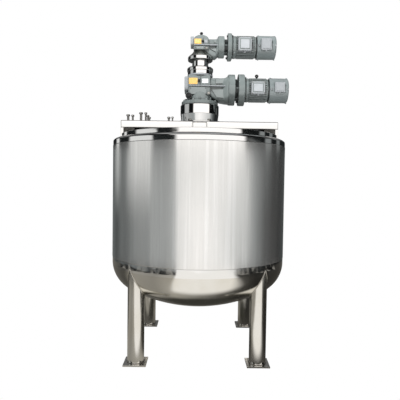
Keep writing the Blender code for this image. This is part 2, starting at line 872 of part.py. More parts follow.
def make_motor(drive):
    low, high = drive.motor_flange_x
    rim = drive.motor_flange_radius
    core = drive.motor_radius - MOTOR_RIB_DEPTH - 0.001
    body_start = high + 0.012
    profile = [
        (0.0, body_start + 0.004),
        (core, body_start + 0.004),
        (core, high + 0.004),
        (rim - 0.010, high),
        (rim, high - 0.006),
        (rim, low + 0.004),
        (rim - 0.004, low),
        (drive.spigot_radius, low),
        (drive.spigot_radius, drive.flange_x + GAP),
        (0.0, drive.flange_x + GAP),
    ]
    head = turned(f"{drive.name}_motor_flange", profile, "drive_paint", closed=False)
    lay_along_x(head, drive.axis_z)
    motor = ribbed_drum(
        f"{drive.name}_motor", drive.motor_radius, body_start, drive.motor_end, "drive_paint"
    )
    motor.location = (0.0, 0.0, drive.axis_z)
    join(motor, as_tool(head))
    seat_low, seat_high = terminal_seat(drive)
    seat = block(f"{drive.name}_terminal_seat", seat_low, seat_high, "drive_paint")
    join(motor, as_tool(seat))


def terminal_seat(drive):
    """The cast pad on the motor's front that the terminal box stands on."""
    inset = 0.010
    low_x, high_x = drive.terminal_x
    low_z, high_z = drive.terminal_z
    front = -drive.motor_radius - 0.002
    back = -drive.motor_radius * 0.72
    return (low_x + inset, front, low_z + inset), (high_x - inset, back, high_z - inset)


def make_terminal_box(drive):
    low_x, high_x = drive.terminal_x
    low_z, high_z = drive.terminal_z
    back = -drive.motor_radius - 0.002 - GAP
    box = block(
        f"{drive.name}_terminal_box",
        (low_x, back - drive.terminal_depth, low_z),
        (high_x, back, high_z),
        "drive_paint_light",
        bevel=0.006,
    )
    gland_place = ((low_x + high_x) / 2, back - drive.terminal_depth / 2, low_z - 0.004)
    gland = cylinder(f"{drive.name}_gland", 0.010, 0.020, "drive_paint_light", gland_place)
    join(box, as_tool(gland))


def make_cowl(drive):
    start = drive.motor_end + GAP
    end = drive.cowl_end
    radius = drive.cowl_radius
    profile = [
        (0.0, end),
        (radius - 0.030, end),
        (radius - 0.008, end - 0.006),
        (radius - 0.001, end - 0.018),
        (radius, start + 0.030),
        (radius, start),
        (0.0, start),
    ]
    cowl = turned(f"{drive.name}_fan_cowl", profile, "cowl_paint", closed=False)
    lay_along_x(cowl, drive.axis_z)
    low_x, high_x = drive.cowl_box_x
    low_z, high_z = drive.cowl_box_z
    box = block(
        f"{drive.name}_cowl_box",
        (low_x, -radius - 0.018, low_z),
        (high_x, -radius * 0.7, high_z),
        "drive_paint_light",
    )
    join(cowl, as_tool(box))


def make_breather():
    top = UPPER_DRIVE.box_z[1]
    profile = [
        (0.0, top + 0.024),
        (0.010, top + 0.022),
        (0.013, top + 0.014),
        (0.013, top + 0.006),
        (0.008, top + 0.005),
        (0.008, top + GAP),
        (0.0, top + GAP),
    ]
    breather = turned("breather_cap", profile, "black_plastic", closed=False, segments=ROUND_SMALL)
    breather.location = (0.007, 0.0, 0.0)


def make_eyebolt():
    """The lower motor's lifting eye: a base and a round loop."""
    x = 0.500
    base = LOWER_DRIVE.axis_z + LOWER_DRIVE.motor_radius + GAP
    ring_radius, rod = 0.012, 0.0045
    loop_centre = base + 0.006 + ring_radius + rod * 0.6
    eye = cylinder("motor_eyebolt", 0.009, 0.008, "black_plastic", (x, 0.0, base + 0.004))
    points = []
    for i in range(17):
        angle = -math.pi / 2 + 0.02 + (2 * math.pi - 0.04) * i / 16
        points.append(
            (x + ring_radius * math.cos(angle), 0.0, loop_centre + ring_radius * math.sin(angle))
        )
    join(eye, as_tool(tube("eyebolt_loop", points, rod, "black_plastic", resolution=1)))


def make_drive(drive):
    make_gearbox(drive)
    make_side_cover(drive)
    make_neck(drive)
    make_motor(drive)
    make_terminal_box(drive)
    make_cowl(drive)


# Agitators


def make_outer_shaft():
    top = LOWER_HUB_TOP - GAP
    shaft = OUTER_SHAFT_RADIUS
    profile = [
        (shaft, top),
        (shaft, OUTER_SHAFT_BOTTOM),
        (OUTER_SHAFT_BORE, OUTER_SHAFT_BOTTOM),
        (OUTER_SHAFT_BORE, top),
    ]
    turned("outer_shaft", profile, "inner_steel", closed=True)


def frame_route():
    """The scraper frame's centre line, from the hub's left side round to its right side."""
    corner = FRAME_CORNER_RADIUS
    side = [(FRAME_HUB_RADIUS - 0.010, FRAME_TOP)]
    side += arc((FRAME_RADIUS - corner, FRAME_TOP - corner), corner, 90, 0, 5)
    offset = HEAD_RADIUS - FRAME_RADIUS
    side += dish_curve(offset, 5, 6)
    left = [(-x, 0.0, z) for x, z in side]
    right = [(x, 0.0, z) for x, z in side[-2::-1]]
    return left + right


def make_scraper_frame():
    inner = OUTER_SHAFT_RADIUS + GAP
    low = FRAME_TOP - FRAME_HUB_HALF_HEIGHT
    high = FRAME_TOP + FRAME_HUB_HALF_HEIGHT
    hub = turned(
        "scraper_hub", ring_profile(FRAME_HUB_RADIUS, inner, low, high), "inner_steel", closed=True
    )
    frame = tube("scraper_frame", frame_route(), FRAME_TUBE_RADIUS, "inner_steel")
    join(frame, as_tool(hub))


def make_inner_shaft():
    length = INNER_SHAFT_TOP - INNER_SHAFT_BOTTOM
    place = (0.0, 0.0, INNER_SHAFT_BOTTOM + length / 2)
    cylinder("inner_shaft", INNER_SHAFT_RADIUS, length, "inner_steel", place, segments=ROUND_MEDIUM)


def make_paddles():
    for name, height in PADDLE_HEIGHTS.items():
        low = height - PADDLE_HUB_HALF_HEIGHT
        high = height + PADDLE_HUB_HALF_HEIGHT
        inner = INNER_SHAFT_RADIUS + GAP
        profile = ring_profile(PADDLE_HUB_RADIUS, inner, low, high)
        hub = turned(name, profile, "inner_steel", closed=True)
        for side, sign in (("left", -1), ("right", 1)):
            start = PADDLE_HUB_RADIUS - 0.008
            half = Vector(((PADDLE_REACH - start) / 2, PADDLE_THICKNESS / 2, PADDLE_WIDTH / 2))
            blade = block(f"{name}_{side}", -half, half, "inner_steel")
            blade.location = (sign * (start + PADDLE_REACH) / 2, 0.0, height)
            blade.rotation_euler = (sign * PADDLE_PITCH, 0.0, 0.0)
            join(hub, as_tool(blade))


clear_scene()
PARTS = new_collection("mixing_tank")
TOOLS = new_collection("mixing_tank_tools")

make_cladding()
make_bottom_dish()
make_bottom_outlet()
make_shoulder()
make_legs()
make_rear_cover()
make_lid()
make_lid_handle()
make_bridge()
make_stubs()
make_seal_housing()
make_lantern()
make_lower_output_flange()
make_drive(LOWER_DRIVE)
make_eyebolt()
make_top_cover()
make_spool()
make_upper_output_flange()
make_drive(UPPER_DRIVE)
make_breather()
make_outer_shaft()
make_scraper_frame()
make_inner_shaft()
make_paddles()
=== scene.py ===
"""Looks of the stainless mixing tank: fine surfaces, finishes, camera and light.

Metres, +Z up, the origin on the floor on the tank's axis. The front faces -Y.
"""

import math
from dataclasses import dataclass

import bmesh
import bpy
from mathutils import Matrix, Vector


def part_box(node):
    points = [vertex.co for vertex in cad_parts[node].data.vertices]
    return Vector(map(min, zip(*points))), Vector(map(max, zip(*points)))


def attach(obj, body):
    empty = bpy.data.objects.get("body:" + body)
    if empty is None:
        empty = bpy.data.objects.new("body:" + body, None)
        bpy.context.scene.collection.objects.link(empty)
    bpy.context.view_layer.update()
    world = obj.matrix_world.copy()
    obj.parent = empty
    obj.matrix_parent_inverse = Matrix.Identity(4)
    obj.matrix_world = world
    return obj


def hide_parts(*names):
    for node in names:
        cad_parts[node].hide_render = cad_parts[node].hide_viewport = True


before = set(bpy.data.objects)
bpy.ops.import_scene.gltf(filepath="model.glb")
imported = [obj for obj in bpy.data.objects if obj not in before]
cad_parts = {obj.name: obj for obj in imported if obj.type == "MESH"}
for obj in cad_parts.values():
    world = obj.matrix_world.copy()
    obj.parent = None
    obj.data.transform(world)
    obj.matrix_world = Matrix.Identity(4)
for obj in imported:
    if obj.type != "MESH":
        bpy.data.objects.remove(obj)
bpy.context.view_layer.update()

GAP = 0.0003
SHARP_ANGLE = math.radians(34)
UP, DOWN, RIGHT, LEFT, FRONT = (0, 0, 1), (0, 0, -1), (1, 0, 0), (-1, 0, 0), (0, -1, 0)

# Camera, fitted to the photograph
CAMERA_PLACE = (-0.0114, -3.9455, 1.4235)
CAMERA_TURN = (87.8896, -0.7919, -0.3427)
CAMERA_LENS = 39.8215
SENSOR_WIDTH = 36.0

# Tank shell
CLADDING_LOW, CLADDING_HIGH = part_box("shell_cladding")
TANK_RADIUS = CLADDING_HIGH[0]
CLADDING_BOTTOM, CLADDING_TOP = CLADDING_LOW[2], CLADDING_HIGH[2]
HEAD_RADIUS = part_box("bottom_dish")[1][0]
INNER_RADIUS = 0.660
INNER_EDGE = INNER_RADIUS + 0.001
DISH_KNUCKLE_START = 0.755
KNUCKLE_RADIUS = 0.257
CROWN_RADIUS = 1.245
SHOULDER_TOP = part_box("top_shoulder")[1][2]
SHOULDER_START = 1.776
SHOULDER_REACH = 0.076
RIM_INNER_RADIUS = 0.625
RIM_THICKNESS = 0.010
SHELL_SEGMENTS = 256
SEAM_ANGLES = (128, 52)

# Covers, hinges and handle
COVER_RADIUS = 0.684
COVER_BOTTOM = SHOULDER_TOP + GAP
COVER_TOP = COVER_BOTTOM + 0.033
COVER_SKIN = 0.006
COVER_EDGE = 0.030
COVER_ROUNDING = 0.003
COVER_SPLIT_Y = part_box("rear_cover")[0][1]
LID_BACK_Y = -0.215
SHAFT_HOLE_RADIUS = 0.0675
HINGE_Y = -0.2125
HINGE_CENTRES_X = (-0.32, 0.32)
BARREL_RADIUS = 0.012
HINGE_Z = COVER_TOP + BARREL_RADIUS + 0.0013
PIN_RADIUS = 0.005
BARREL_LENGTH = 0.030
LEAF_LENGTH = 0.050
LEAF_THICKNESS = 0.006
HANDLE_LIFT = 0.018
HANDLE_BEND = 0.014

# Agitators
FRAME_RADIUS = 0.600
FRAME_TUBE_RADIUS = 0.022
FRAME_TOP = 1.480
FRAME_CORNER_RADIUS = 0.080
FRAME_HUB_RADIUS = 0.070
PADDLE_REACH = 0.400
PADDLE_HUB_RADIUS = 0.048
PADDLE_HUB_HALF = 0.045


# Colours and numbers


def linear(level):
    """A display level of 0 to 255 as linear light."""
    share = level / 255
    if share <= 0.04045:
        return share / 12.92
    return ((share + 0.055) / 1.055) ** 2.4


def shade(red, green=None, blue=None):
    """A linear colour from display levels; one level alone is a grey."""
    green = red if green is None else green
    blue = red if blue is None else blue
    return (linear(red), linear(green), linear(blue), 1.0)


def arc(centre, radius, start, end, steps, radius_z=None):
    """Points on a round or elliptic arc, in degrees from +r towards +z."""
    points = []
    for i in range(steps + 1):
        angle = math.radians(start + (end - start) * i / steps)
        r = centre[0] + radius * math.cos(angle)
        z = centre[1] + (radius_z or radius) * math.sin(angle)
        points.append((r, z))
    return points


def low_edge(radius, z, edge, steps=3):
    """The rounded lower edge of a turned form that starts at a height."""
    return arc((radius - edge, z + edge), edge, -90, 0, steps)


def high_edge(radius, z, edge, steps=3):
    """The rounded upper edge of a turned form that ends at a height."""
    return arc((radius - edge, z - edge), edge, 0, 90, steps)


def rounded_run(start, end, edge, steps):
    """The (inset, place) pairs of the sections of a form with rounded ends."""
    run = [(edge - r, start + edge + z) for r, z in arc((0.0, 0.0), edge, -90, 0, steps)]
    return run + [(edge - r, end - edge + z) for r, z in arc((0.0, 0.0), edge, 0, 90, steps)]


def spokes(count, radius=1.0, start=0.0):
    """Pairs spaced round a circle, from a start in degrees."""
    pairs = []
    for i in range(count):
        angle = math.radians(start) + 2 * math.pi * i / count
        pairs.append((radius * math.cos(angle), radius * math.sin(angle)))
    return pairs


def circle(centre, radius, count):
    """A level ring of points."""
    return [(centre[0] + x, centre[1] + y, centre[2]) for x, y in spokes(count, radius)]


def from_axis(point):
    """How far a point is from the tank's axis."""
    return math.hypot(point.x, point.y)


def centre_of(node):
    """The middle of a node's box."""
    low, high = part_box(node)
    return [(near + far) / 2 for near, far in zip(low, high)]


def round_sizes(node):
    """The radius, the bottom and the top of an upright round node."""
    low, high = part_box(node)
    return (high[0] - low[0]) / 2, low[2], high[2]


# Shader nodes and finishes


class Nodes:
    """A node tree and short ways to fill it. A value is a number, a colour or an output."""

    def __init__(self, tree):
        self.tree = tree

    def feed(self, socket, value):
        if isinstance(value, bpy.types.NodeSocket):
            self.tree.links.new(value, socket)
        else:
            socket.default_value = value

    def fill(self, node, values):
        """Fills inputs by name; a name has _ for each space."""
        for name, value in values.items():
            self.feed(node.inputs[name.replace("_", " ")], value)
        return node

    def node(self, kind, **values):
        return self.fill(self.tree.nodes.new(kind), values)

    def math(self, operation, first, second=0.0):
        node = self.node("ShaderNodeMath")
        node.operation = operation
        self.feed(node.inputs[0], first)
        self.feed(node.inputs[1], second)
        return node.outputs[0]

    def product(self, *factors):
        """Numbers multiplied together."""
        result = factors[0]
        for factor in factors[1:]:
            result = self.math("MULTIPLY", result, factor)
        return result

    def mixed(self, factor, first, second):
        node = self.node("ShaderNodeMix")
        node.data_type = "RGBA"
        for index, value in ((0, factor), (6, first), (7, second)):
            self.feed(node.inputs[index], value)
        return node.outputs[2]

    def spread(self, factor, low, high, start=0.3, end=0.7):
        """A factor between start and end, spread over low to high."""
        ranges = {"From_Min": start, "From_Max": end, "To_Min": low, "To_Max": high}
        return self.node("ShaderNodeMapRange", Value=factor, **ranges).outputs[0]

    def smooth_step(self, value, start, end):
        """A soft change from 0 to 1 between two values."""
        node = self.node("ShaderNodeMapRange", Value=value, From_Min=start, From_Max=end)
        node.interpolation_type = "SMOOTHSTEP"
        return node.outputs[0]

    def axes(self, kind):
        """The three parts of a texture coordinate."""
        where = self.node("ShaderNodeTexCoord").outputs[kind]
        return self.node("ShaderNodeSeparateXYZ", Vector=where).outputs


def empty_nodes(owner):
    """The cleared node tree of a world or a material."""
    owner.use_nodes = True
    owner.node_tree.nodes.clear()
    return Nodes(owner.node_tree)


EVEN = (1.0, 1.0, 1.0)


class Finish(Nodes):
    """One procedural material: a Principled shader and the nodes that feed it."""

    def __init__(self, name, colour, roughness, metallic):
        self.material = bpy.data.materials.new(name)
        self.material.use_nodes = True
        super().__init__(self.material.node_tree)
        self.shader = self.tree.nodes["Principled BSDF"]
        self.set(Base_Color=colour, Roughness=roughness, Metallic=metallic)

    def set(self, **values):
        self.fill(self.shader, values)
        return self

    def noise(self, scale, stretch=EVEN, detail=3.0):
        """Noise over the piece, in metres, stretched along each axis."""
        where = self.node("ShaderNodeTexCoord").outputs["Object"]
        place = self.node("ShaderNodeMapping", Vector=where, Scale=stretch).outputs[0]
        return self.node("ShaderNodeTexNoise", Vector=place, Scale=scale, Detail=detail).outputs[0]

    def bump(self, height, distance, strength):
        node = self.node("ShaderNodeBump", Height=height, Distance=distance, Strength=strength)
        earlier = self.shader.inputs["Normal"].links
        if earlier:
            self.feed(node.inputs["Normal"], earlier[0].from_socket)
        return self.set(Normal=node.outputs[0])


# Bare metal: noise, one or two tones, range of roughness, and bumps with height and strength
METALS = {
    # Polished steel, with the slight waves of rolled sheet
    "mirror_steel": (
        (6.0, (1.0, 1.0, 2.0), 5.0), [(236, 236, 235)], (0.045, 0.10),
        [((5.0, (1.0, 1.0, 1.6), 2.0), 0.0035, 0.35), ((260.0, EVEN, 3.0), 0.00002, 0.3)],
    ),
    # Legs, dish and cover tops: polished once, now a little dull, straw-coloured in places
    "satin_steel": (
        (5.0, (1.0, 1.0, 0.6), 5.0), [(222, 219, 211), (234, 233, 230)], (0.12, 0.20),
        [((7.0, EVEN, 2.0), 0.0020, 0.35), ((300.0, (1.0, 1.0, 0.15), 2.0), 0.00003, 0.4)],
    ),
    # Flanges and ferrules, with fine turning lines
    "turned_steel": (
        (800.0, (0.01, 0.01, 1.0), 1.0), [(232, 231, 229)], (0.07, 0.13), [(None, 0.00002, 0.3)],
    ),
    # Small fittings and the lantern's bolts: steel darkened to paint in the dark reflections they show
    "stub_steel": ((60.0, EVEN, 4.0), [(104, 103, 100), (150, 149, 146)], (0.18, 0.32), []),
    # Near-black steel: painted shade under the bridge, on its gussets and under the upper flange's lip; the
    # spool's bolts also use it
    "dark_steel": ((40.0, EVEN, 4.0), [(40, 40, 38), (96, 95, 92)], (0.26, 0.42), []),
    # The inside of the vessel and the agitators, with faint level polishing marks
    "inner_steel": (
        (500.0, (0.02, 0.02, 1.0), 2.0), [(226, 225, 222)], (0.17, 0.28), [(None, 0.00003, 0.4)],
    ),
    # Ground welds, a little straw-coloured
    "weld_steel": (
        (420.0, EVEN, 2.0), [(206, 204, 198), (168, 163, 154)], (0.22, 0.42), [(None, 0.0004, 0.7)],
    ),
    # Zinc-plated bolts
    "bolt_steel": ((120.0, EVEN, 4.0), [(160, 158, 152), (206, 206, 202)], (0.22, 0.42), []),
}

# Enamel: colour, roughness, colour of the painted shade in hollows and corners, strength of the orange peel
ENAMELS = {
    "drive_paint": ((0.180, 0.207, 0.204), 0.36, (0.018, 0.023, 0.023), 1.0),
    "drive_paint_mid": ((0.225, 0.252, 0.249), 0.34, (0.030, 0.036, 0.036), 0.6),
    "drive_paint_light": ((0.315, 0.335, 0.350), 0.34, (0.110, 0.120, 0.125), 0.5),
    "drive_shadow": ((0.020, 0.024, 0.024), 0.55, (0.008, 0.010, 0.010), 0.6),
    "lid_paint": ((0.420, 0.445, 0.465), 0.30, (0.200, 0.210, 0.220), 0.3),
    "cowl_paint": ((0.205, 0.236, 0.238), 0.40, (0.030, 0.035, 0.035), 0.6),
}
LABELS = {"yellow_label": shade(240, 190, 84), "white_label": shade(236, 240, 241)}


def metal(name, grain, tones, roughness, bumps):
    """Bare metal whose tone and dullness follow one noise."""
    tones = [shade(*levels) for levels in tones]
    finish = Finish(name, tones[0], roughness[0], 1.0)
    marks = finish.noise(*grain)
    if len(tones) == 2:
        finish.set(Base_Color=finish.mixed(finish.spread(marks, 0.0, 1.0), *tones))
    finish.set(Roughness=finish.spread(marks, *roughness))
    for noise, distance, strength in bumps:
        finish.bump(finish.noise(*noise) if noise else marks, distance, strength)
    return finish


def brushed_steel():
    """Sheet steel with a fine upright grain under a clear protective film."""
    finish = Finish("brushed_steel", shade(230), 0.20, 0.92)
    grain = finish.noise(900.0, (1.0, 1.0, 0.004), 2.0)
    cloud = finish.noise(3.0, (1.0, 1.0, 0.5), 4.0)
    runs = finish.noise(34.0, (1.0, 1.0, 0.012), 3.0)
    tone = finish.mixed(finish.spread(cloud, 0.0, 1.0), shade(221, 221, 219), shade(234, 233, 231))
    streaked = finish.mixed(finish.spread(grain, 0.0, 0.3), tone, shade(188, 188, 186))
    toned = finish.mixed(finish.spread(runs, 0.0, 0.36, 0.52, 0.66), streaked, shade(247))
    smooth = finish.product(finish.spread(runs, 1.10, 0.85), finish.spread(grain, 0.12, 0.19))
    finish.set(Base_Color=toned, Roughness=smooth, Coat_Weight=0.6, Coat_Roughness=0.03)
    finish.bump(finish.noise(2.6, (1.0, 1.0, 0.35), 2.0), 0.004, 0.25)
    return finish.bump(grain, 0.00004, 0.35)


def enamel(name, colour, roughness, hollow_shade, peel):
    """Sprayed enamel over a casting or sheet: orange peel, faint clouds, painted shade in corners."""
    colour, hollow_shade = colour + (1.0,), hollow_shade + (1.0,)
    paler = tuple(min(1.0, part * 1.14) for part in colour[:3]) + (1.0,)
    finish = Finish(name, colour, roughness, 0.0)
    cloud = finish.noise(14.0, detail=5.0)
    base = finish.mixed(finish.spread(cloud, 0.0, 1.0), colour, paler)
    # Ambient occlusion darkens the paint in corners and hollows: painted shade.
    corners = finish.node("ShaderNodeAmbientOcclusion", Distance=0.030)
    corners.samples = 6
    tone = finish.mixed(finish.spread(corners.outputs["AO"], 0.0, 1.0, 0.35, 0.85), hollow_shade, base)
    finish.set(Base_Color=tone, Roughness=finish.spread(cloud, roughness - 0.05, roughness + 0.08))
    finish.set(Coat_Weight=0.7, Coat_Roughness=0.16)
    return finish.bump(finish.noise(160.0, detail=2.0), 0.0005 * peel, 0.5)


def black_plastic():
    finish = Finish("black_plastic", (0.012, 0.012, 0.013, 1.0), 0.42, 0.0)
    finish.set(Roughness=finish.spread(finish.noise(90.0), 0.34, 0.52))
    return finish.bump(finish.noise(700.0), 0.00008, 0.5)


def label(name, colour):
    """A bare printed plate with a faint edge of use."""
    finish = Finish(name, colour, 0.35, 0.0)
    fade = finish.noise(60.0, detail=4.0)
    paler = tuple(part + (1.0 - part) * 0.22 for part in colour[:3]) + (1.0,)
    return finish.set(Base_Color=finish.mixed(finish.spread(fade, 0.0, 1.0), colour, paler))


def make_finish(name):
    if name in METALS:
        return metal(name, *METALS[name])
    if name in ENAMELS:
        return enamel(name, *ENAMELS[name])
    if name in LABELS:
        return label(name, LABELS[name])
    return {"brushed_steel": brushed_steel, "black_plastic": black_plastic}[name]()


made_finishes = {}


def finish_material(name):
    if name not in made_finishes:
        made_finishes[name] = make_finish(name).material
    return made_finishes[name]


# Mesh building


def facing(at, direction):
    """The matrix of a form that was made about +Z and now points along a direction."""
    turn = Vector(direction).to_track_quat("Z", "Y").to_matrix().to_4x4()
    return Matrix.Translation(Vector(at)) @ turn


def mesh_of(name, form):
    """A mesh with a form's faces; the form is used up."""
    mesh = bpy.data.meshes.new(name)
    form.to_mesh(mesh)
    form.free()
    return mesh


def new_object(name, content):
    """An object in the scene that holds a mesh, a lamp or a camera."""
    obj = bpy.data.objects.new(name, content)
    bpy.context.scene.collection.objects.link(obj)
    return obj


def skin_form(rings, loop):
    """A closed skin through rings: round again to the first, or with two flat ends."""
    form = bmesh.new()
    rows = [[form.verts.new(point) for point in ring] for ring in rings]
    pairs = list(zip(rows, rows[1:]))
    if loop:
        pairs.append((rows[-1], rows[0]))
    for near, far in pairs:
        for i in range(len(near)):
            form.faces.new((near[i - 1], near[i], far[i], far[i - 1]))
    if not loop:
        form.faces.new(rows[0][::-1])
        form.faces.new(rows[-1])
    return form


def bevelled(form, edge, steps):
    bmesh.ops.bevel(form, geom=form.edges[:], offset=edge, segments=steps, affect="EDGES", profile=0.5)
    return form


class Shape:
    """A mesh in the making. Every form that is added is closed and has a finish of its own."""

    def __init__(self):
        self.bm = bmesh.new()
        self.finishes = []

    def index(self, finish):
        if finish not in self.finishes:
            self.finishes.append(finish)
        return self.finishes.index(finish)

    def take(self, form, finish, matrix=None):
        """Adds the faces of a small bmesh, with their normals turned outwards."""
        if matrix is not None:
            bmesh.ops.transform(form, matrix=matrix, verts=form.verts)
        bmesh.ops.recalc_face_normals(form, faces=form.faces)
        for face in form.faces:
            face.material_index = self.index(finish)
            face.smooth = True
        mesh = mesh_of("form", form)
        self.bm.from_mesh(mesh)
        bpy.data.meshes.remove(mesh)
        return self

    def skin(self, rings, finish, loop=False):
        return self.take(skin_form(rings, loop), finish)

    def turned(self, profile, finish, at=(0, 0, 0), axis=UP, segments=96, loop=False):
        """A turned form from (radius, height) points about an axis."""
        rings = []
        for radius, height in profile:
            rings.append([(x, y, height) for x, y in spokes(segments, radius)])
        return self.take(skin_form(rings, loop), finish, facing(at, axis))

    def box(self, low, high, finish, edge=0.002, steps=3, matrix=None):
        """A box between two corners with rounded edges."""
        low, high = Vector(low), Vector(high)
        form = bmesh.new()
        bmesh.ops.create_cube(form, size=1.0)
        bmesh.ops.scale(form, vec=high - low, verts=form.verts)
        bmesh.ops.translate(form, vec=(low + high) / 2, verts=form.verts)
        return self.take(bevelled(form, edge, steps), finish, matrix)

    def plate(self, corners, near, far, finish, edge=0.0025):
        """A flat-sided pad from corners in the upright plane, between two depths."""
        form = skin_form([[(x, y, z) for x, z in corners] for y in (near, far)], False)
        return self.take(bevelled(form, edge, 3), finish)

    def rod(self, at, axis, radius, length, finish, edge=0.001, segments=48, bore=None):
        """A round bar from a point along an axis, with rounded ends and perhaps a bore."""
        profile = low_edge(radius, 0.0, edge) + high_edge(radius, length, edge)
        if bore:
            profile += [(bore, length), (bore, 0.0)]
        return self.turned(profile, finish, at, axis, segments, loop=bool(bore))

    def sweep(self, points, radius, finish, sides=16, loop=False):
        """A round bar along a path."""
        points = [Vector(p) for p in points]
        last = len(points) - 1
        rings, side = [], None
        for i, point in enumerate(points):
            if loop:
                along = points[(i + 1) % len(points)] - points[i - 1]
            else:
                along = points[min(i + 1, last)] - points[max(i - 1, 0)]
            along.normalize()
            if side is None:
                side = along.orthogonal()
            side = (side - along * side.dot(along)).normalized()
            other = along.cross(side)
            rings.append([point + side * c + other * s for c, s in spokes(sides, radius)])
        return self.skin(rings, finish, loop)

    def bolt(self, at, axis, flats, finish="bolt_steel", washer=True):
        """A hexagon head, with its washer, on a face."""
        start = flats * 0.12 if washer else 0.0
        if washer:
            self.turned([(flats * 0.72, 0.0), (flats * 0.72, start)], finish, at, axis, 20)
        reach = flats / math.sqrt(3)
        height = start + flats * 0.55
        head = [(reach, start), (reach, height - flats * 0.06), (reach * 0.86, height)]
        return self.turned(head, finish, at, axis, 6)

    def screw(self, at, axis, radius, finish="bolt_steel"):
        """A round head with a socket."""
        height = radius * 0.9
        profile = [(radius, 0.0), (radius, height * 0.75), (radius * 0.86, height)]
        profile += [(radius * 0.5, height), (radius * 0.45, height * 0.4)]
        return self.turned(profile, finish, at, axis, 16)

    def bolt_circle(self, centre, axis, radius, count, flats, start=0.0, finish="bolt_steel"):
        """Bolts spaced round a circle on a flat face."""
        matrix = facing(centre, axis)
        for x, y in spokes(count, radius, start):
            self.bolt(matrix @ Vector((x, y, 0.0)), axis, flats, finish)
        return self

    def paint(self, test, finish):
        """Gives another finish to the faces whose middle passes a test."""
        index = self.index(finish)
        for face in self.bm.faces:
            if test(face.calc_center_median()):
                face.material_index = index
        return self

    def piece(self, name, slot, *nodes, body="tank"):
        """Makes the object, which stands for CAD nodes and rides on a body."""
        mesh = mesh_of(name, self.bm)
        mesh.set_sharp_from_angle(angle=SHARP_ANGLE)
        for finish in self.finishes:
            mesh.materials.append(finish_material(finish))
        obj = new_object(name, mesh)
        obj.modifiers.new("Weighted normals", "WEIGHTED_NORMAL").keep_sharp = True
        if nodes:
            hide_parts(*nodes)
        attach(obj, body)

    def visual(self, node, slot="mirror_steel", body="tank"):
        """The piece that takes the place of one CAD node."""
        self.piece(node + "_visual", slot, node, body=body)


# Vessel


def dish_centres():
    """The knuckle's and the crown's centres, and the angle where the two curves meet."""
    knuckle = (HEAD_RADIUS - KNUCKLE_RADIUS, DISH_KNUCKLE_START)
    rise = math.sqrt((CROWN_RADIUS - KNUCKLE_RADIUS) ** 2 - knuckle[0] ** 2)
    meeting = math.degrees(math.atan2(-rise, knuckle[0]))
    return knuckle, (0.0, DISH_KNUCKLE_START + rise), meeting


def dish_curve(offset, knuckle_steps, crown_steps, last_radius):
    """The dish's outline from its straight part down to a radius near the pole."""
    knuckle, crown, meeting = dish_centres()
    points = arc(knuckle, KNUCKLE_RADIUS - offset, 0, meeting, knuckle_steps)
    reach = CROWN_RADIUS - offset
    last = -90 + math.degrees(math.asin(last_radius / reach))
    return points + arc(crown, reach, meeting, last, crown_steps)[1:]


def dish_height(x, y, offset=0.0):
    """The height of the dish's outside below a place."""
    knuckle, crown, meeting = dish_centres()
    radius = min(math.hypot(x, y), HEAD_RADIUS + offset)
    edge = knuckle[0] + (KNUCKLE_RADIUS + offset) * math.cos(math.radians(meeting))
    if radius < edge:
        return crown[1] - math.sqrt((CROWN_RADIUS + offset) ** 2 - radius**2)
    inside = max((KNUCKLE_RADIUS + offset) ** 2 - (radius - knuckle[0]) ** 2, 0.0)
    return knuckle[1] - math.sqrt(inside)


def make_cladding():
    fold, steps = 0.005, 12
    profile = [(INNER_RADIUS, CLADDING_TOP)] + high_edge(TANK_RADIUS, CLADDING_TOP, fold, 6)[::-1]
    height = CLADDING_TOP - CLADDING_BOTTOM
    profile += [(TANK_RADIUS, CLADDING_TOP - height * i / steps) for i in range(1, steps)]
    profile += low_edge(TANK_RADIUS, CLADDING_BOTTOM, fold, 6)[::-1]
    profile.append((INNER_RADIUS, CLADDING_BOTTOM))
    shape = Shape().turned(profile, "brushed_steel", segments=SHELL_SEGMENTS, loop=True)
    shape.paint(lambda c: from_axis(c) < INNER_EDGE, "inner_steel")
    for degrees in SEAM_ANGLES:
        x, y = spokes(1, TANK_RADIUS - 0.0012, degrees)[0]
        ends = [(x, y, CLADDING_BOTTOM + 0.006), (x, y, CLADDING_TOP - 0.006)]
        shape.sweep(ends, 0.0022, "weld_steel", 10)
    shape.visual("shell_cladding", "brushed_steel")


def make_dish():
    top = CLADDING_BOTTOM - GAP
    wall = HEAD_RADIUS - INNER_RADIUS
    profile = [(HEAD_RADIUS, top)] + dish_curve(0.0, 40, 40, 0.002)
    profile += dish_curve(wall, 24, 30, 0.002)[::-1] + [(INNER_RADIUS, top)]

    def is_inside(centre):
        height = dish_height(centre.x, centre.y)
        return centre.z > height + wall * 0.6 and from_axis(centre) < INNER_EDGE

    shape = Shape().turned(profile, "satin_steel", segments=SHELL_SEGMENTS, loop=True)
    shape.paint(lambda c: c.z > DISH_KNUCKLE_START - 0.030, "mirror_steel")
    shape.paint(is_inside, "inner_steel").visual("bottom_dish")


def make_outlet():
    """A short pipe, welded on, with a clamp head whose cap has a grooved rim."""
    radius, bottom, _ = round_sizes("bottom_outlet")
    neck = radius * 0.74
    pole = dish_height(0.0, 0.0)
    profile = [(neck, pole - 0.001), (neck, bottom + 0.016), (radius * 0.9, bottom + 0.0095)]
    profile += [(radius * 0.9, bottom), (radius * 0.2, bottom)]
    rim = [(radius * 0.80, 0.0165), (radius - 0.001, 0.0135), (radius, 0.0125), (radius, 0.0035)]
    rim += [(radius - 0.001, 0.0025), (radius * 0.80, 0.001)]
    shape = Shape().turned(profile, "turned_steel", segments=64)
    shape.turned(rim, "turned_steel", (0, 0, bottom), segments=64)
    shape.sweep(circle((0, 0, pole - 0.0005), neck + 0.001, 64), 0.0025, "weld_steel", 10, True)
    shape.visual("bottom_outlet")


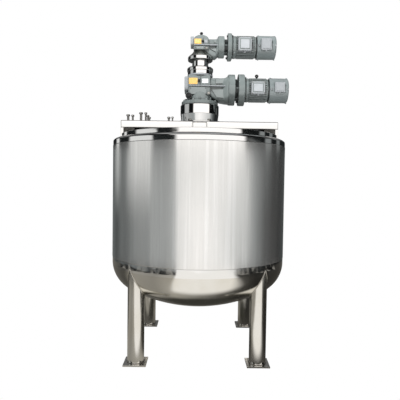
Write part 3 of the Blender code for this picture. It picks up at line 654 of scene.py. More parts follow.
def make_shoulder():
    bottom, under = CLADDING_TOP + GAP, SHOULDER_TOP - RIM_THICKNESS
    centre = (HEAD_RADIUS - SHOULDER_REACH, SHOULDER_START)
    profile = [(RIM_INNER_RADIUS, SHOULDER_TOP)]
    profile += arc(centre, SHOULDER_REACH, 90, 0, 40, SHOULDER_TOP - SHOULDER_START)
    profile += [(HEAD_RADIUS, bottom + 0.016), (HEAD_RADIUS, bottom), (INNER_RADIUS, bottom)]
    profile += [(INNER_RADIUS, under), (RIM_INNER_RADIUS, under)]
    top = SHOULDER_TOP - 0.001
    shape = Shape().turned(profile, "mirror_steel", segments=SHELL_SEGMENTS, loop=True)
    shape.paint(lambda c: from_axis(c) < INNER_EDGE and c.z < top, "inner_steel")
    shape.visual("top_shoulder")


def make_leg(name):
    """A pipe cut to the dish's curve, with a weld at each end."""
    x, y, _ = centre_of(name)
    radius, bottom, _ = round_sizes(name)
    count = 96
    top = [(px, py, dish_height(px, py, GAP)) for px, py, _ in circle((x, y, 0), radius, count)]
    joint = circle((x, y, 0), radius + 0.001, count)
    joint = [(px, py, dish_height(px, py, 0.001) - 0.001) for px, py, _ in joint]
    rings = [circle((x, y, bottom + height), radius, count) for height in (0.0, 0.15, 0.30)]
    shape = Shape().skin(rings + [top], "satin_steel")
    shape.sweep(joint, 0.0030, "weld_steel", 10, True)
    shape.sweep(circle((x, y, bottom + 0.001), radius + 0.001, count), 0.0045, "weld_steel", 10, True)
    shape.visual(name)


def make_foot_plate(name):
    Shape().box(*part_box(name), "satin_steel", 0.0015).visual(name)


# Covers, lid and hinges


def half_disc_ring(radius, line_y, z, front):
    """A disc's outline with one straight side, as a ring of points."""
    arc_count, line_count = 154, 66
    half = math.acos(max(-1.0, min(1.0, -line_y / radius)))
    middle = -math.pi / 2 if front else math.pi / 2
    spread = half if front else math.pi - half
    points = []
    for i in range(arc_count):
        angle = middle + spread * (2 * i / (arc_count - 1) - 1)
        points.append((radius * math.cos(angle), radius * math.sin(angle), z))
    first, last = Vector(points[0]), Vector(points[-1])
    for i in range(1, line_count + 1):
        points.append(tuple(last.lerp(first, i / (line_count + 1))))
    return points


def cover_rings(line_y, front):
    """Rings up the rim of half a cover, whose top edge is rounded."""
    rings = [half_disc_ring(COVER_RADIUS, line_y, COVER_BOTTOM, front)]
    shift = -1 if front else 1
    for r, z in high_edge(0.0, COVER_TOP, COVER_ROUNDING, 5):
        rings.append(half_disc_ring(COVER_RADIUS + r, line_y - shift * r, z, front))
    return rings


def hole_ring(outline, z):
    """The edge of the shaft's hole, with a point for each point of the outline round it."""
    places = [Vector(point[:2]).normalized() * SHAFT_HOLE_RADIUS for point in outline]
    return [(place.x, place.y, z) for place in places]


def hinge_half(shape, sections, leaf_side):
    """One leaf of a hinge: barrels, the leaf under each, and its screws."""
    leaf_top = COVER_TOP + LEAF_THICKNESS
    near, far = sorted((HINGE_Y + leaf_side * 0.003, HINGE_Y + leaf_side * LEAF_LENGTH))
    for low_x, high_x in sections:
        shape.rod((low_x + 0.0004, HINGE_Y, HINGE_Z), RIGHT, BARREL_RADIUS,
                  high_x - low_x - 0.0008, "turned_steel", 0.0012, 40)
        shape.box((low_x + 0.001, near, COVER_TOP - 0.001), (high_x - 0.001, far, leaf_top),
                  "turned_steel", 0.0012)
        for reach in (0.022, 0.040):
            place = ((low_x + high_x) / 2, HINGE_Y + leaf_side * reach, leaf_top - 0.0005)
            shape.screw(place, UP, 0.0042)


def make_rear_cover():
    rings = cover_rings(COVER_SPLIT_Y, False)
    under, above = [hole_ring(rings[0], z) for z in (COVER_BOTTOM, COVER_TOP)]
    shape = Shape().skin([under] + rings + [above], "mirror_steel", True)
    shape.paint(lambda c: c.z > COVER_TOP - 0.0001, "satin_steel")
    half, length = BARREL_LENGTH / 2, 3 * BARREL_LENGTH + 0.006
    for x in HINGE_CENTRES_X:
        hinge_half(shape, [(x - 3 * half, x - half), (x + half, x + 3 * half)], 1)
        shape.rod((x - length / 2, HINGE_Y, HINGE_Z), RIGHT, PIN_RADIUS, length,
                  "turned_steel", 0.0015, 24)
    shape.visual("rear_cover")


def make_lid():
    ceiling, soft = COVER_TOP - COVER_SKIN, 0.003
    radius, line_y = RIM_INNER_RADIUS - 0.001, LID_BACK_Y - COVER_EDGE
    rings = [
        half_disc_ring(radius - soft, line_y - soft, ceiling, True),
        half_disc_ring(radius, line_y, ceiling - soft, True),
        half_disc_ring(radius, line_y, COVER_BOTTOM, True),
    ]
    shape = Shape().skin(rings + cover_rings(LID_BACK_Y, True), "mirror_steel")
    shape.paint(lambda c: c.z > COVER_TOP - 0.0001, "satin_steel")
    half = BARREL_LENGTH / 2
    for x in HINGE_CENTRES_X:
        hinge_half(shape, [(x - half, x + half)], -1)
    shape.visual("front_lid", body="lid")


def make_handle():
    low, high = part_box("lid_handle")
    rod = (high[1] - low[1]) / 2
    y, bottom, half = centre_of("lid_handle")[1], low[2], high[0] - rod
    bend, turn = half - HANDLE_BEND, high[2] + HANDLE_LIFT - rod - HANDLE_BEND
    route = [(-half, bottom), (-half, turn)] + arc((-bend, turn), HANDLE_BEND, 180, 90, 10)
    route += arc((bend, turn), HANDLE_BEND, 90, 0, 10) + [(half, bottom)]
    shape = Shape()
    shape.sweep([(x, y, z) for x, z in route], rod, "turned_steel", 24)
    for x in (-half, half):
        shape.rod((x, y, bottom), UP, 0.010, 0.0035, "turned_steel", 0.001, 32)
        shape.sweep(circle((x, y, bottom + 0.004), rod + 0.0008, 24), 0.0012, "weld_steel", 8, True)
    shape.visual("lid_handle", body="lid")


# Bridge and stubs


def make_bridge():
    """The beam with its shaft hole, and two fine grooves across its front and its back."""
    low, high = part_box("bridge_beam")
    edge, groove, groove_x = 0.0075, 0.0035, 0.060

    def outline(inset, z):
        x, y = high[0] - inset - edge, high[1] - inset - edge
        front = []
        for centre in (-groove_x, groove_x):
            for dx, dy in ((-groove, 0.0), (0.0, groove), (groove, 0.0)):
                front.append((centre + dx, dy - y - edge))
        points = front + arc((x, -y), edge, -90, 0, 4) + arc((x, y), edge, 0, 90, 4)
        points += [(-px, -py) for px, py in front]
        points += arc((-x, y), edge, 90, 180, 4) + arc((-x, -y), edge, 180, 270, 4)
        return [(px, py, z) for px, py in points]

    rings = [outline(inset, z) for inset, z in rounded_run(low[2], high[2], edge, 4)]
    under, above = [hole_ring(outline(0.0, z), z) for z in (low[2], high[2])]
    shape = Shape().skin([under] + rings + [above], "mirror_steel", True)
    # The beam's underside is dark steel: painted shade under the bridge.
    shape.paint(lambda c: c.z < low[2] + 0.0001, "dark_steel").visual("bridge_beam")


def make_bridge_welds():
    """Ground welds where the bridge stands on its feet."""
    shape = Shape()
    for side in ("left", "right"):
        low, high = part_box(f"bridge_foot_{side}")
        for x in (low[0], high[0]):
            ends = [(x, y, high[2] - 0.0005) for y in (low[1] + 0.004, high[1] - 0.004)]
            shape.sweep(ends, 0.0022, "weld_steel", 8)
    shape.piece("bridge_welds", "mirror_steel")


def make_bridge_foot(side):
    """The end plate under the bridge, with a foot on the cover, two gussets and bolts."""
    name = f"bridge_foot_{side}"
    (low_x, front, bottom), (high_x, back, top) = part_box(name)
    sign = -1 if side == "left" else 1
    outer, reach = max(abs(low_x), abs(high_x)), 0.135
    inner, joint = outer - reach, outer - 0.022
    shape = Shape()

    def slab(x_from, x_to, y_from, y_to, z_from, z_to, finish, edge=0.0015):
        near, far = sorted((sign * x_from, sign * x_to))
        shape.box((near, y_from, z_from), (far, y_to, z_to), finish, edge)

    slab(outer - 0.024, outer, front, back, bottom, top, "mirror_steel")
    slab(inner, joint, front, back, bottom, bottom + 0.008, "turned_steel")
    # The two gussets are dark steel: painted shade beneath the bridge.
    for y in (front + 0.012, back - 0.018):
        slab(inner + 0.020, joint, y, y + 0.006, bottom + 0.007, top - 0.001, "dark_steel", 0.001)
    for y, flats in ((front + 0.005, 0.008), (0.0, 0.013), (back - 0.005, 0.008)):
        for share in (0.32, 0.68):
            shape.bolt((sign * (outer - reach * share), y, bottom + 0.008), UP, flats)
    shape.visual(name)


def make_stub(name):
    """A clamp ferrule on the bridge with a cap, a clamp ring and its wing nut."""
    x, y, _ = centre_of(name)
    head, bottom, top = round_sizes(name)
    tube, cap, neck = head * 0.62, head * 0.9, top - 0.012
    profile = [(tube + 0.002, bottom), (tube + 0.0005, bottom + 0.002), (tube, bottom + 0.004)]
    profile += [(tube, neck - 0.004), (cap, neck), (cap, top - 0.0035)]
    profile += arc((head * 0.75, top - 0.0035), 0.0035, 0, 90, 4)[1:]
    ring = [(head * 0.84, neck - 0.0025), (head, neck - 0.001), (head, neck + 0.0065)]
    ring += [(head * 0.84, neck + 0.008)]
    shape = Shape()
    for outline in (profile, ring):
        shape.turned(outline, "stub_steel", (x, y, 0), segments=32)
    nut_y, height = y - head - 0.0035, neck + 0.0028
    shape.box((x - 0.0035, nut_y - 0.004, height - 0.003), (x + 0.0035, y - cap, height + 0.003),
              "turned_steel", 0.0008, 2)
    shape.rod((x - 0.009, nut_y, height), RIGHT, 0.0016, 0.018, "bolt_steel", 0.0004, 12)
    shape.rod((x + 0.0045, nut_y, height), RIGHT, 0.0032, 0.004, "bolt_steel", 0.0006, 12)
    shape.visual(name)


# Round pieces of the drive column


def make_seal():
    flange, base, top = round_sizes("seal_housing")
    body, bore, seat = 0.062, 0.0505, base + 0.016
    profile = [(bore, base)] + low_edge(flange, base, 0.002) + high_edge(flange, seat, 0.003)
    profile += arc((body + 0.005, seat + 0.005), -0.005, 90, 0, 4)
    profile += [(body, top - 0.002), (body - 0.002, top), (bore, top)]
    shape = Shape().turned(profile, "turned_steel", loop=True)
    shape.bolt_circle((0, 0, seat), UP, 0.092, 8, 0.014, 22.5)
    shape.visual("seal_housing")


def make_lantern():
    """The mirror drum between bridge and lower drive: base ring, widening belt, round body."""
    base_radius, bottom, top = round_sizes("lantern")
    foot, body, bore, belt = 0.1600, 0.1685, 0.0625, 2.026
    seat = bottom + 0.010
    profile = [(bore, bottom)] + low_edge(base_radius, bottom, 0.002)
    profile += high_edge(base_radius, seat, 0.003, 4)
    profile += [(foot + 0.001, seat), (foot, seat + 0.001), (body - 0.0015, belt - 0.001)]
    profile += [(body - 0.001, belt), (body, belt + 0.001), (body, top - 0.016)]
    profile += high_edge(body, top, 0.008, 8) + [(bore, top)]
    shape = Shape().turned(profile, "mirror_steel", segments=160, loop=True)
    shape.bolt_circle((0, 0, seat), UP, 0.1640, 6, 0.024, 0, "stub_steel")
    shape.visual("lantern")


def make_lower_flange():
    """A flange with a hub, eight ribs between them and eight bolts."""
    rim, bottom, top = round_sizes("lower_output_flange")
    hub, bore, step = 0.112, 0.0455, 2.140
    profile = [(bore, bottom)] + low_edge(rim, bottom, 0.003, 4) + high_edge(rim, step, 0.005, 4)
    profile += [(rim - 0.020, step)] + arc((hub + 0.014, step + 0.014), -0.010, 90, 10, 6)
    profile += [(hub + 0.002, step + 0.035), (hub, top - 0.012)]
    profile += arc((hub - 0.008, top - 0.008), 0.008, 10, 90, 5) + [(bore, top)]
    shape = Shape().turned(profile, "drive_paint", segments=128, loop=True)
    shape.bolt_circle((0, 0, step), UP, 0.1435, 8, 0.019, 22.5, "drive_paint_mid")
    for i in range(8):
        shape.box((hub - 0.006, -0.005, step - 0.002), (rim - 0.026, 0.005, step + 0.030),
                  "drive_paint", 0.003, 2, Matrix.Rotation(math.pi / 4 * i, 4, "Z"))
    shape.visual("lower_output_flange", "drive_paint")


def make_top_cover():
    rim, bottom, top = round_sizes("lower_top_cover")
    bore, seat = 0.033, bottom + 0.014
    profile = [(bore, bottom)] + low_edge(rim, bottom, 0.002)
    profile += [(rim, seat), (rim - 0.002, seat + 0.002), (rim - 0.002, top - 0.001)]
    profile += [(rim - 0.003, top), (bore, top)]
    shape = Shape().turned(profile, "drive_paint_light", segments=128, loop=True)
    shape.paint(lambda c: c.z > seat + 0.0001, "mirror_steel")
    shape.visual("lower_top_cover", "drive_paint_light")


def make_spool():
    rim, bottom, top = round_sizes("spool")
    neck, bore, seat = 0.071, 0.033, 2.438
    profile = [(bore, bottom)] + low_edge(rim, bottom, 0.002) + high_edge(rim, seat, 0.010, 8)
    profile += arc((neck + 0.005, seat + 0.005), -0.005, 90, 0, 5)
    profile += [(neck, top - 0.001), (neck - 0.001, top), (bore, top)]
    shape = Shape().turned(profile, "mirror_steel", segments=128, loop=True)
    shape.bolt_circle((0, 0, seat), UP, 0.0930, 8, 0.011, 22.5, "dark_steel")
    shape.visual("spool")


def make_upper_flange():
    """A flange like an umbrella: flat lip, rounded rim, cone and painted neck."""
    rim, bottom, top = round_sizes("upper_output_flange")
    neck, bore, lip, crown = 0.050, 0.0255, 2.502, 2.534
    profile = [(bore, bottom), (0.071, bottom), (0.073, lip - 0.002), (0.078, lip)]
    profile += [(rim - 0.004, lip), (rim - 0.001, lip + 0.001), (rim, lip + 0.004)]
    profile += [(rim, crown - 0.006)] + arc((rim - 0.006, crown - 0.006), 0.006, 0, 60, 5)
    cone = [(0.098, 0.008), (0.080, 0.024), (0.066, 0.040), (0.058, 0.054), (neck, 0.058)]
    profile += [(radius, crown + rise) for radius, rise in cone] + [(neck, top), (bore, top)]
    shape = Shape().turned(profile, "mirror_steel", segments=128, loop=True)
    shape.paint(lambda c: crown < c.z and from_axis(c) < 0.105, "satin_steel")
    shape.paint(lambda c: c.z > crown + 0.048, "drive_paint")
    # The lip's underside is dark steel: painted shade under the flange.
    shape.paint(lambda c: c.z < lip + 0.001 and from_axis(c) > 0.073, "dark_steel")
    shape.visual("upper_output_flange")


# Gearmotors


@dataclass
class Drive:
    """One gearmotor: what its nodes can't tell, and sizes that are read from them."""

    name: str
    motor_flange_x: tuple
    spigot: float
    motor_radius: float
    neck_half_y: float
    neck_x: float
    neck_top: float
    belly: tuple
    rib_z: float
    casting_bottom: float
    casting_top: float
    arch_rise: float
    seam_x: float
    seam_end: float
    cover_inset: float
    cowl_box: tuple
    plates: tuple

    def __post_init__(self):
        low, high = self.box("neck")
        self.axis_z = (low[2] + high[2]) / 2
        self.flange_radius = (high[2] - low[2]) / 2
        self.flange_x = high[0]

    def box(self, part):
        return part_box(f"{self.name}_{part}")

    def at(self, x):
        """A place on the motor's axis."""
        return (x, 0.0, self.axis_z)

    def around(self, x, count, radius, start=0.0):
        """Places spaced round the motor's axis."""
        return [(x, y, self.axis_z + z) for y, z in spokes(count, radius, start)]

    def visual(self, part, shape, slot="drive_paint"):
        shape.visual(f"{self.name}_{part}", slot)


LOWER = Drive(
    name="lower",
    motor_flange_x=(0.334, 0.389), spigot=0.092, motor_radius=0.1045,
    neck_half_y=0.084, neck_x=0.243, neck_top=2.345,
    belly=((0.050, 2.215), (0.080, 2.190), (0.108, 2.166), (0.140, 2.150), (0.180, 2.141)),
    rib_z=2.268, casting_bottom=2.190, casting_top=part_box("lower_gearbox")[1][2], arch_rise=0.012,
    seam_x=0.004, seam_end=0.012, cover_inset=0.0,
    cowl_box=(0.645, 0.732, 2.219, 2.304),
    plates=(("yellow_label", -0.097, -0.022, 2.281, 2.334), ("white_label", 0.017, 0.071, 2.290, 2.328)),
)
UPPER = Drive(
    name="upper",
    motor_flange_x=(0.237, 0.272), spigot=0.062, motor_radius=0.0970,
    neck_half_y=0.058, neck_x=0.150, neck_top=2.684,
    belly=((0.030, 2.592), (0.048, 2.566), (0.072, 2.540), (0.098, 2.527), (0.125, 2.522)),
    rib_z=2.624, casting_bottom=2.584, casting_top=2.710, arch_rise=0.040,
    seam_x=0.022, seam_end=0.026, cover_inset=0.014,
    cowl_box=(0.522, 0.612, 2.577, 2.677),
    plates=(("yellow_label", -0.053, 0.006, 2.632, 2.674),),
)
ROUND_TOP_RISE = 0.02
RIB_CAD_PROUD = 0.005
RIB_PROUD = 0.010
MOTOR_FINS = 36
FIN_DEPTH = 0.007


def oval_ring(x, centre_z, half_y, half_z, squareness):
    """One section across X, from an ellipse (squareness 2) to nearly a rectangle (8)."""
    points = []
    for c, s in spokes(96, start=1.875):
        reach = (abs(c) ** squareness + abs(s) ** squareness) ** (-1 / squareness)
        points.append((x, half_y * c * reach, centre_z + half_z * s * reach))
    return points


def casting_outline(drive, inset):
    """A gearbox seen from the front: square below, and above a flat or a round top."""
    low, high = drive.box("gearbox")
    corner, rise = 0.012, drive.arch_rise
    left, right = low[0] + inset, high[0] - inset
    bottom, top = drive.casting_bottom + inset + corner, drive.casting_top - inset - rise
    half = (right - left) / 2
    reach = half if rise > ROUND_TOP_RISE else rise
    points = arc((right - corner, bottom), corner, -90, 0, 5)
    points += arc((right - reach, top), reach, 0, 90, 14, rise)
    points += arc((left + reach, top), reach, 90, 180, 14, rise)[1 if reach == half else 0:]
    return points + arc((left + corner, bottom), corner, 180, 270, 5)


def make_gearbox(drive):
    """The cast housing with its rib, screwed covers, seams and bare plates."""
    low, high = drive.box("gearbox")
    half_y, rib_z, bottom = high[1] - RIB_CAD_PROUD, drive.rib_z, drive.casting_bottom
    rings = []
    for inset, y in rounded_run(-half_y, half_y, 0.007, 5):
        rings.append([(x, y, z) for x, z in casting_outline(drive, inset)])
    shape = Shape().skin(rings, "drive_paint")
    # The rib is in the paler paint: a painted highlight along it.
    shape.box((low[0] + 0.002, -half_y - RIB_PROUD, rib_z - 0.004),
              (high[0] + 0.004, half_y + RIB_PROUD, rib_z + 0.004), "drive_paint_light", 0.0025)
    seam_top = drive.casting_top - drive.seam_end
    for side in (-1, 1):
        near, far = sorted((side * (half_y - 0.004), side * (half_y + 0.005)))
        shape.box((low[0] + 0.010, near, bottom + 0.004), (high[0] - 0.030, far, rib_z - 0.012),
                  "drive_paint_mid", 0.0025)
        for x in (low[0] + 0.019, high[0] - 0.039):
            for z in (bottom + 0.013, rib_z - 0.021):
                shape.screw((x, side * (half_y + 0.0045), z), (0, side, 0), 0.0048, "drive_paint_mid")
        seam_y = side * (half_y + 0.0006)
        shape.box((drive.seam_x - 0.0012, seam_y - 0.001, rib_z + 0.008),
                  (drive.seam_x + 0.0012, seam_y + 0.001, seam_top), "black_plastic", 0.0004, 1)
    for finish, x_from, x_to, z_from, z_to in drive.plates:
        shape.box((x_from, -half_y - 0.0022, z_from), (x_to, -half_y + 0.001, z_to), finish, 0.0006, 2)
        for x in (x_from + 0.004, x_to - 0.004):
            shape.screw((x, -half_y - 0.002, (z_from + z_to) / 2), FRONT, 0.0016)
    return shape


def oil_plug(shape, at, size, finish="bolt_steel"):
    """A hexagon plug on its round boss, on a front face."""
    shape.turned([(size * 0.85, 0.0), (size * 0.80, size * 0.25)], "drive_paint", at, FRONT, 32)
    shape.bolt(Vector(at) + Vector(FRONT) * size * 0.24, FRONT, size, finish)


def make_lower_gearbox():
    shape, front = make_gearbox(LOWER), LOWER.box("gearbox")[0][1]
    oil_plug(shape, (-0.008, front + 0.006, 2.310), 0.017, "black_plastic")
    oil_plug(shape, (-0.096, -0.090, 2.184), 0.034, "black_plastic")
    oil_plug(shape, (0.076, front + 0.004, 2.204), 0.016)
    LOWER.visual("gearbox", shape)


def make_upper_gearbox():
    shape, front = make_gearbox(UPPER), UPPER.box("gearbox")[0][1]
    oil_plug(shape, (0.020, front + 0.006, 2.654), 0.014, "black_plastic")
    oil_plug(shape, (0.052, front + 0.006, 2.596), 0.013)
    shape.box((0.031, front + 0.002, 2.640), (0.060, front + 0.012, 2.668), "drive_paint_light", 0.003)
    UPPER.visual("gearbox", shape)


def make_side_cover(drive):
    low, high = drive.box("side_cover")
    half_y, half_z = (high[1] - low[1]) / 2, (high[2] - low[2]) / 2 - drive.cover_inset
    middle, face = (low[2] + high[2] - drive.cover_inset) / 2, low[0]
    rings = []
    for inset, back in ((0.008, 0.0), (0.004, 0.0), (0.0012, 0.0015), (0.0, 0.005), (0.0, high[0] - face)):
        rings.append(oval_ring(face + back, middle, half_y - inset, half_z - inset, 4.5))
    shape = Shape().skin(rings, "drive_paint_light")
    for y in (-half_y + 0.016, half_y - 0.016):
        for z in (middle - half_z + 0.016, middle, middle + half_z - 0.016):
            shape.screw((face + 0.0042, y, z), LEFT, 0.0050)
    shape.rod((face + 0.0022, 0, middle), LEFT, half_z * 0.5, 0.0022, "drive_paint_light")
    drive.visual("side_cover", shape)


def neck_rings(drive):
    """Sections of the cast bell: square at the gearbox, round at its flange."""
    half_y, rim, rings = drive.neck_half_y, drive.flange_radius, []
    for x, bottom in drive.belly:
        top = drive.neck_top
        rings.append(oval_ring(x, (top + bottom) / 2, half_y, (top - bottom) / 2, 6))
    start_x, bottom = drive.belly[-1]
    throat, steps = rim - 0.010, 8
    for i in range(1, steps + 1):
        share = i / steps
        ease = share * share * (3 - 2 * share)
        x = start_x + (drive.neck_x + 0.002 - start_x) * share
        top = drive.neck_top + (drive.axis_z + throat - drive.neck_top) * share**4
        low_z = bottom + (drive.axis_z - throat - bottom) * share
        wide = half_y + (throat * 0.94 - half_y) * ease
        rings.append(oval_ring(x, (top + low_z) / 2, wide, (top - low_z) / 2, 6 - 3 * ease))
    edges = arc((drive.neck_x + 0.010, rim - 0.004), 0.004, 180, 90, 4)
    edges += arc((drive.flange_x - 0.005, rim - 0.005), 0.005, 90, 0, 5)
    return rings + [oval_ring(x, drive.axis_z, radius, radius, 2) for x, radius in edges]


def make_neck(drive):
    """The cast bell with its ribs, the pressed panels beside them and its bolts."""
    low_x = drive.box("neck")[0][0]
    half_y, rim, rib_z = drive.neck_half_y, drive.flange_radius, drive.rib_z
    start, end = low_x + 0.012, drive.neck_x + 0.006
    foot, top = drive.axis_z - rim * 0.66, drive.neck_top - 0.016
    under = [(start, rib_z - 0.030), (end, rib_z - 0.022), (end, foot), (start + 0.045, foot + 0.006)]
    over = [(start + 0.035, rib_z + 0.022), (end - 0.012, rib_z + 0.022), (end - 0.012, top)]
    over.append((start + 0.035, top))
    shape = Shape().skin(neck_rings(drive), "drive_paint")
    for side in (-1, 1):
        deep = side * (half_y - 0.02)
        near, far = sorted((deep, side * (half_y + 0.020)))
        # Each rib is in the paler paint: a painted highlight along it.
        shape.box((low_x, near, rib_z - 0.0045), (end, far, rib_z + 0.0045),
                  "drive_paint_light", 0.0025)
        shape.plate(under, deep, side * (half_y + 0.008), "drive_paint_mid")
        shape.plate(over, deep, side * (half_y + 0.006), "drive_paint_mid")
    shape.bolt_circle(drive.at(drive.neck_x + 0.010), LEFT, rim - 0.014, 4, 0.016, 45, "drive_shadow")
    drive.visual("neck", shape)


def finned_ring(drive, x, shrink):
    """A round outline with narrow fins, across X."""
    crest, valley = drive.motor_radius - shrink, drive.motor_radius - FIN_DEPTH
    points = []
    for i in range(MOTOR_FINS):
        for share, radius in ((0.0, crest), (0.46, crest), (0.56, valley), (0.90, valley)):
            points += drive.around(x, 1, radius, 360 * (i + share) / MOTOR_FINS)
    return points


def make_motor(drive):
    """Flange, end shield with its bolts, finned body and the pad of the terminal box."""
    low, high = drive.box("motor")
    face, back = drive.motor_flange_x
    rim, body, spigot, end = (high[2] - low[2]) / 2, drive.motor_radius, drive.spigot, high[0]
    start, shield_end = drive.flange_x + GAP, back + 0.034
    profile = [(spigot, start), (spigot, face)] + low_edge(rim, face, 0.004, 4)
    profile += high_edge(rim, back, 0.008, 5) + [(body - 0.004, back + 0.006), (body - 0.004, back + 0.012)]
    shape = Shape().turned(profile, "drive_paint", drive.at(0.0), RIGHT)
    shape.paint(lambda c: c.x < face - 0.0005, "drive_shadow")
    for place in drive.around(start, 6, spigot):
        shape.rod(place, RIGHT, 0.0070, face - start + 0.002, "drive_paint", 0.001, 20)
    shape.rod(drive.at(back + 0.010), RIGHT, body - 0.001, 0.024, "drive_paint", 0.003, 96, body / 2)
    shape.rod(drive.at(shield_end - 0.002), RIGHT, body - FIN_DEPTH, 0.012, "drive_paint")
    rings = []
    for x, shrink in ((shield_end + 0.006, 0.003), (shield_end + 0.009, 0.0),
                      (end - 0.012, 0.0), (end - 0.009, 0.003)):
        rings.append(finned_ring(drive, x, shrink))
    shape.skin(rings, "drive_paint_mid")
    shape.rod(drive.at(end - 0.020), RIGHT, body - 0.006, 0.020, "drive_paint", 0.002, 96)
    for x, way in ((back, RIGHT), (face, LEFT)):
        shape.bolt_circle(drive.at(x), way, rim - 0.014, 4, 0.016, 45, "drive_shadow")
    for place in drive.around(shield_end - 0.022, 4, body - 0.004, 45):
        shape.rod(place, RIGHT, 0.009, 0.020, "drive_paint", 0.002, 24)
        shape.screw(place, LEFT, 0.0055)
    pad_low, pad_high = drive.box("terminal_box")
    shape.box((pad_low[0] + 0.010, pad_high[1] + GAP, pad_low[2] + 0.024),
              (pad_high[0] - 0.010, -body * 0.70, pad_high[2] - 0.010), "drive_paint", 0.004)
    drive.visual("motor", shape)


def make_terminal_box(drive):
    """The box with its framed, paler lid, four screws and a gland below."""
    low, high = drive.box("terminal_box")
    front, bottom = low[1], low[2] + 0.014
    shape = Shape()

    def layer(inset, near, far, finish, edge, steps):
        shape.box((low[0] + inset, near, bottom + inset), (high[0] - inset, far, high[2] - inset),
                  finish, edge, steps)

    layer(0.0, front + 0.012, high[1], "drive_paint_light", 0.005, 4)
    layer(0.001, front + 0.004, front + 0.0115, "drive_paint_light", 0.003, 4)
    layer(0.011, front + 0.0035, front + 0.008, "drive_paint", 0.001, 2)
    layer(0.019, front, front + 0.008, "lid_paint", 0.003, 4)
    for x in (low[0] + 0.007, high[0] - 0.007):
        for z in (bottom + 0.007, high[2] - 0.007):
            shape.screw((x, front + 0.004, z), FRONT, 0.0036)
    x, y, _ = centre_of(f"{drive.name}_terminal_box")
    shape.rod((x, y, bottom + 0.002), DOWN, 0.0095, 0.009, "lid_paint", 0.001, 24)
    shape.bolt((x, y, bottom - 0.004), DOWN, 0.016, "lid_paint", False)
    drive.visual("terminal_box", shape, "drive_paint_light")


def make_cowl(drive):
    """The sheet fan cowl: a lipped start, a pressed end with an air grille, screws and a box."""
    low, high = drive.box("fan_cowl")
    radius, start, end = (high[2] - low[2]) / 2, low[0], high[0]
    seat = start + 0.012
    profile = [(radius - 0.012, start), (radius - 0.010, seat), (radius - 0.002, seat + 0.0005)]
    profile += [(radius, seat + 0.003), (radius, start + 0.030), (radius - 0.001, end - 0.016)]
    profile += arc((radius - 0.013, end - 0.014), 0.012, 0, 80, 8)
    profile += [(radius - 0.030, end - 0.001), (0.016, end - 0.001), (0.015, end), (0.002, end)]
    shape = Shape().turned(profile, "cowl_paint", drive.at(0.0), RIGHT, 128)
    shape.paint(lambda c: c.x < seat, "drive_shadow")
    for ring in range(5):
        for place in drive.around(end - 0.001, 6 + ring * 5, 0.022 + ring * 0.0125):
            shape.turned([(0.0036, -0.004), (0.0036, 0.0003)], "black_plastic", place, RIGHT, 10)
    for turn in (184, 274, 4, 94):
        first, last = start + 0.028, end - 0.010
        outwards = (0, *spokes(1, start=turn)[0])
        for x, sink, size in ((first, 0.0005, 0.0070), (last, 0.0025, 0.0075)):
            shape.screw(drive.around(x, 1, radius - sink, turn)[0], outwards, size, "lid_paint")
        place = drive.around(first, 1, radius - 0.0005, turn)[0]
        shape.turned([(0.010, -0.003), (0.010, 0.0012)], "drive_shadow", place, outwards, 24)
    make_cowl_box(shape, drive, low[1], radius)
    drive.visual("fan_cowl", shape, "cowl_paint")


def make_cowl_box(shape, drive, front, radius):
    """A small box on the cowl's front, with a raised lid and a gland."""
    x_from, x_to, z_from, z_to = drive.cowl_box
    frame_width = 0.010
    shape.box((x_from, front + 0.003, z_from), (x_to, -radius * 0.7, z_to), "drive_paint_light", 0.004, 4)
    shape.box((x_from + frame_width, front, z_from + frame_width),
              (x_to - frame_width, front + 0.006, z_to - frame_width), "drive_paint_light", 0.0025)
    gland = ((x_from + x_to) / 2, -radius - 0.004, z_from + 0.002)
    shape.rod(gland, DOWN, 0.0065, 0.010, "lid_paint", 0.001, 20)


def make_breather():
    """A knurled cap on a neck that stands on the upper gearbox."""
    x, y, _ = centre_of("breather_cap")
    radius, bottom, top = round_sizes("breather_cap")
    neck = radius * 0.6
    profile = [(neck, UPPER.casting_top - 0.003), (neck, bottom + 0.005)]
    profile += [(radius - 0.001, bottom + 0.0055), (radius, bottom + 0.007), (radius, bottom + 0.014)]
    profile += arc((radius - 0.009, top - 0.009), 0.009, 0, 80, 6)
    shape = Shape().turned(profile, "black_plastic", (x, y, 0), segments=40)
    for i in range(12):
        turn = Matrix.Translation((x, y, 0)) @ Matrix.Rotation(math.pi / 6 * i, 4, "Z")
        shape.box((radius - 0.001, -0.001, bottom + 0.007), (radius + 0.0006, 0.001, bottom + 0.014),
                  "black_plastic", 0.0003, 1, turn)
    shape.visual("breather_cap", "black_plastic")


def make_eyebolt():
    x = centre_of("motor_eyebolt")[0]
    _, bottom, top = round_sizes("motor_eyebolt")
    rod, ring = 0.0070, 0.0090
    centre_z = top - ring - rod
    loop = [(x + c, 0.0, centre_z + s) for c, s in spokes(40, ring)]
    profile = [(0.010, 0.0), (0.010, 0.003), (0.0065, 0.0055), (0.0055, 0.010)]
    shape = Shape()
    shape.sweep(loop, rod, "black_plastic", loop=True)
    shape.turned(profile, "black_plastic", (x, 0, bottom), segments=32)
    shape.visual("motor_eyebolt", "black_plastic")


# Agitators


def make_shaft(name, edge, bore=None):
    radius, bottom, top = round_sizes(name)
    shape = Shape().rod((0, 0, bottom), UP, radius, top - bottom, "inner_steel", edge, 64, bore)
    shape.visual(name, "inner_steel")


